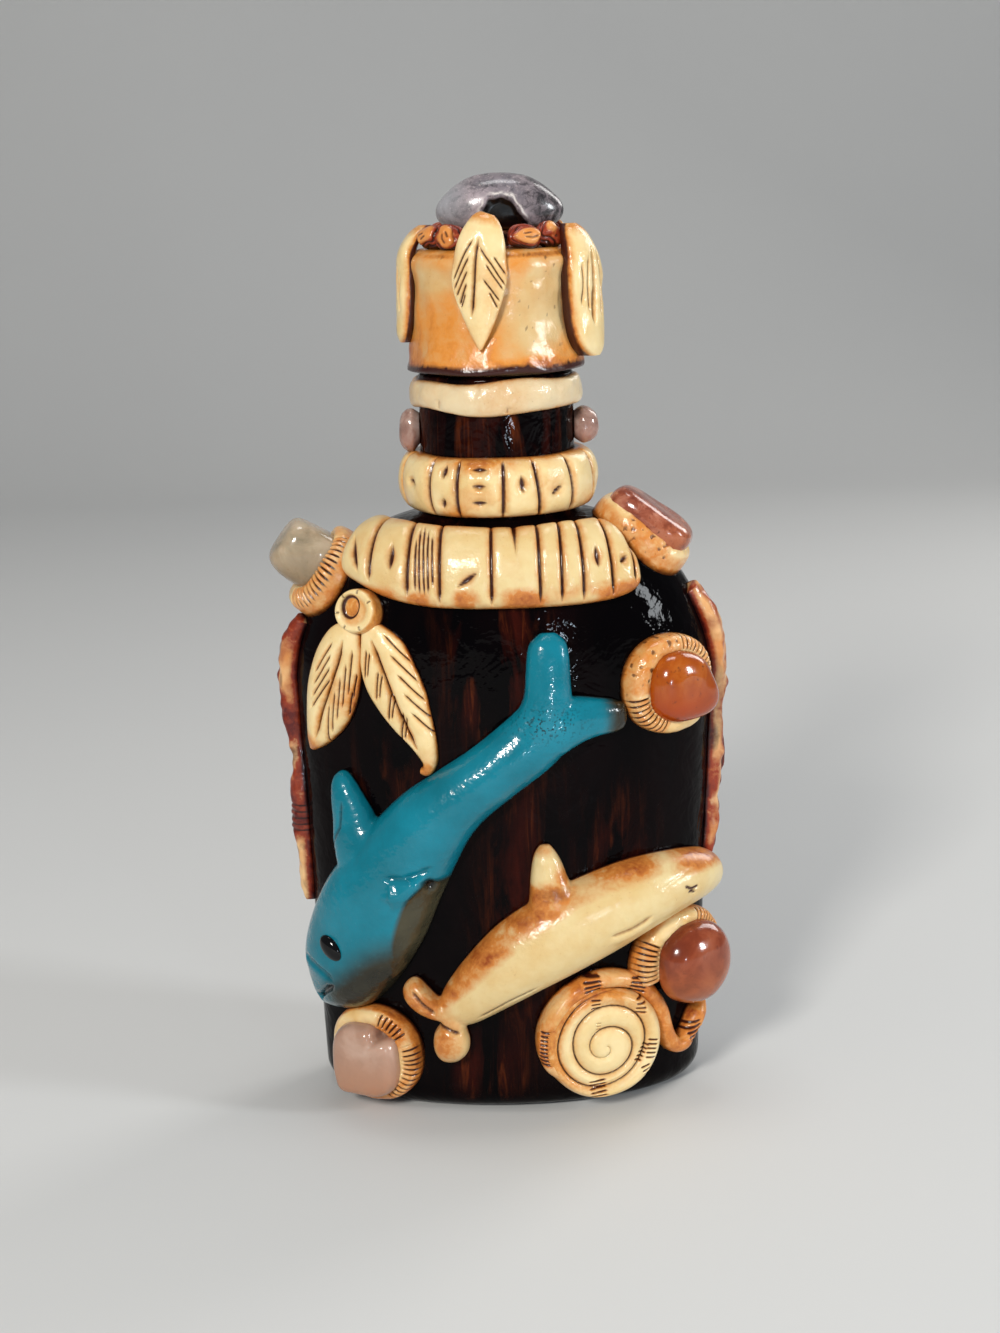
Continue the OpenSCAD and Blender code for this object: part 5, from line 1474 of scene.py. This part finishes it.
def cork():
    low, high = span("cork_shank")
    cork_r, foot, top = high[0], low[2], high[2]
    turn = full_turn(120)
    bevel = 1.0
    profile = [(0.02, foot), (cork_r * 0.5, foot), (cork_r - bevel, foot), (cork_r - 0.3, foot + 0.4),
               (cork_r, foot + bevel)]
    profile += [(cork_r, z) for z in np.linspace(foot + 2, top - 0.6, 24)]
    profile += [(cork_r, top), (cork_r * 0.5, top), (0.02, top)]
    r, z = np.array(profile).T[..., None]
    points = turned(r, turn, z)
    pits = ramp(lumps(points, 1.6, 141), 0.75, 1.3) * ramp(z, foot, foot + 1) * fall(z, top - 2, top - 1)
    points = points - (0.5 * pits)[..., None] * turned(1, turn, 0)
    return piece("cork", points, CORK, "cork", ["cork_shank"], "stopper", stain_and_shade=pits)


def wooden_head():
    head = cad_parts["stopper_head"]
    head.data.materials.clear()
    head.data.materials.append(WOOD)


PIECES = [bottle, neck_ring, neck_band, shoulder_band, stones, feather_button, feathers, left_vine,
          right_vine, blue_dolphin, blue_dolphin_eye, cream_dolphin, spiral_disc, spiral_strap, cap_shell,
          cap_bed, cap_pellets, cap_top_stone, cap_leaves, cork, wooden_head]
for make in PIECES:
    make()


# Studio: a pale sweep, soft lights and the photograph's viewpoint, in metres

def sweep():
    look = Look("pale_floor", Roughness=0.7, Specular_IOR_Level=0.2)
    look.colour(look.layer("#c9c9c8", "#cdcdcb", look.noise(0.004, 2)))
    front, back, bend, half, top, floor = -2.0, 0.9, 0.5, 2.5, 2.5, -0.0002
    profile = [(front, floor), (back, floor)]
    profile += [(back + bend * math.sin(t), bend * (1 - math.cos(t)) + floor)
                for t in np.linspace(0.1, math.pi / 2, 14)]
    profile.append((back + bend, top))
    points = [(x, y, z) for y, z in profile for x in (-half, half)]
    mesh = mesh_of("sweep", points, [(k, k + 1, k + 3, k + 2) for k in range(0, len(points) - 2, 2)])
    mesh.shade_smooth()
    mesh.materials.append(look.material)
    added("sweep", mesh)


def softbox(name, at, aim, size, watts, tint):
    """A soft rectangular light that the camera doesn't see."""
    lamp = bpy.data.lights.new(name, "AREA")
    lamp.shape = "RECTANGLE"
    lamp.size, lamp.size_y = size
    lamp.energy = watts
    lamp.color = tint
    made = added(name, lamp)
    made.location = at
    made.rotation_euler = (Vector(aim) - Vector(at)).to_track_quat("-Z", "Y").to_euler()
    made.visible_camera = False


def camera():
    """The photograph's view: from just above, with the bottle's top leaning a little to the left."""
    focal_pixels, picture_height = 2200.0, 1333.0
    rise, roll = math.radians(13.4), math.radians(1.5)
    target, distance = Vector((-0.0007, 0.0, 0.101)), 0.513
    ahead = Vector((0, math.cos(rise), -math.sin(rise)))
    across, upward = Vector((1, 0, 0)), Vector((0, math.sin(rise), math.cos(rise)))
    right = across * math.cos(roll) - upward * math.sin(roll)
    up = across * math.sin(roll) + upward * math.cos(roll)
    lens = bpy.data.cameras.new("viewpoint")
    lens.sensor_width = 36.0
    lens.lens = lens.sensor_width * focal_pixels / picture_height
    lens.clip_start = 0.01
    made = added("viewpoint", lens)
    aim = Matrix((right, up, -ahead)).transposed().to_4x4()
    made.matrix_world = Matrix.Translation(target - ahead * distance) @ aim
    bpy.context.scene.camera = made


def studio():
    """Soft lights and a pale surround."""
    softbox("key", (-0.42, -1.05, 0.68), (0, 0, 0.11), (0.22, 0.22), 12.4, (1.0, 0.97, 0.92))
    softbox("window", (1.05, -0.35, 0.38), (0, 0, 0.12), (0.16, 0.3), 6.4, (0.93, 0.97, 1.0))
    softbox("top", (0.0, 0.1, 1.3), (0, 0, 0.1), (0.5, 0.3), 3.4, (1.0, 1.0, 1.0))
    softbox("pane", (0.17, -0.5, 0.09), (0, 0, 0.15), (0.018, 0.03), 0.28, (0.7, 0.85, 1.0))
    softbox("rim", (0.6, 0.6, 0.6), (0, 0, 0.12), (0.3, 0.6), 3.0, (1.0, 0.98, 0.95))
    world = bpy.data.worlds.new("studio")
    world.use_nodes = True
    background = world.node_tree.nodes["Background"]
    background.inputs["Color"].default_value = (0.9, 0.94, 1.0, 1.0)
    background.inputs["Strength"].default_value = 0.22
    bpy.context.scene.world = world
    bpy.context.scene.view_settings.view_transform = "Standard"


sweep()
camera()
studio()
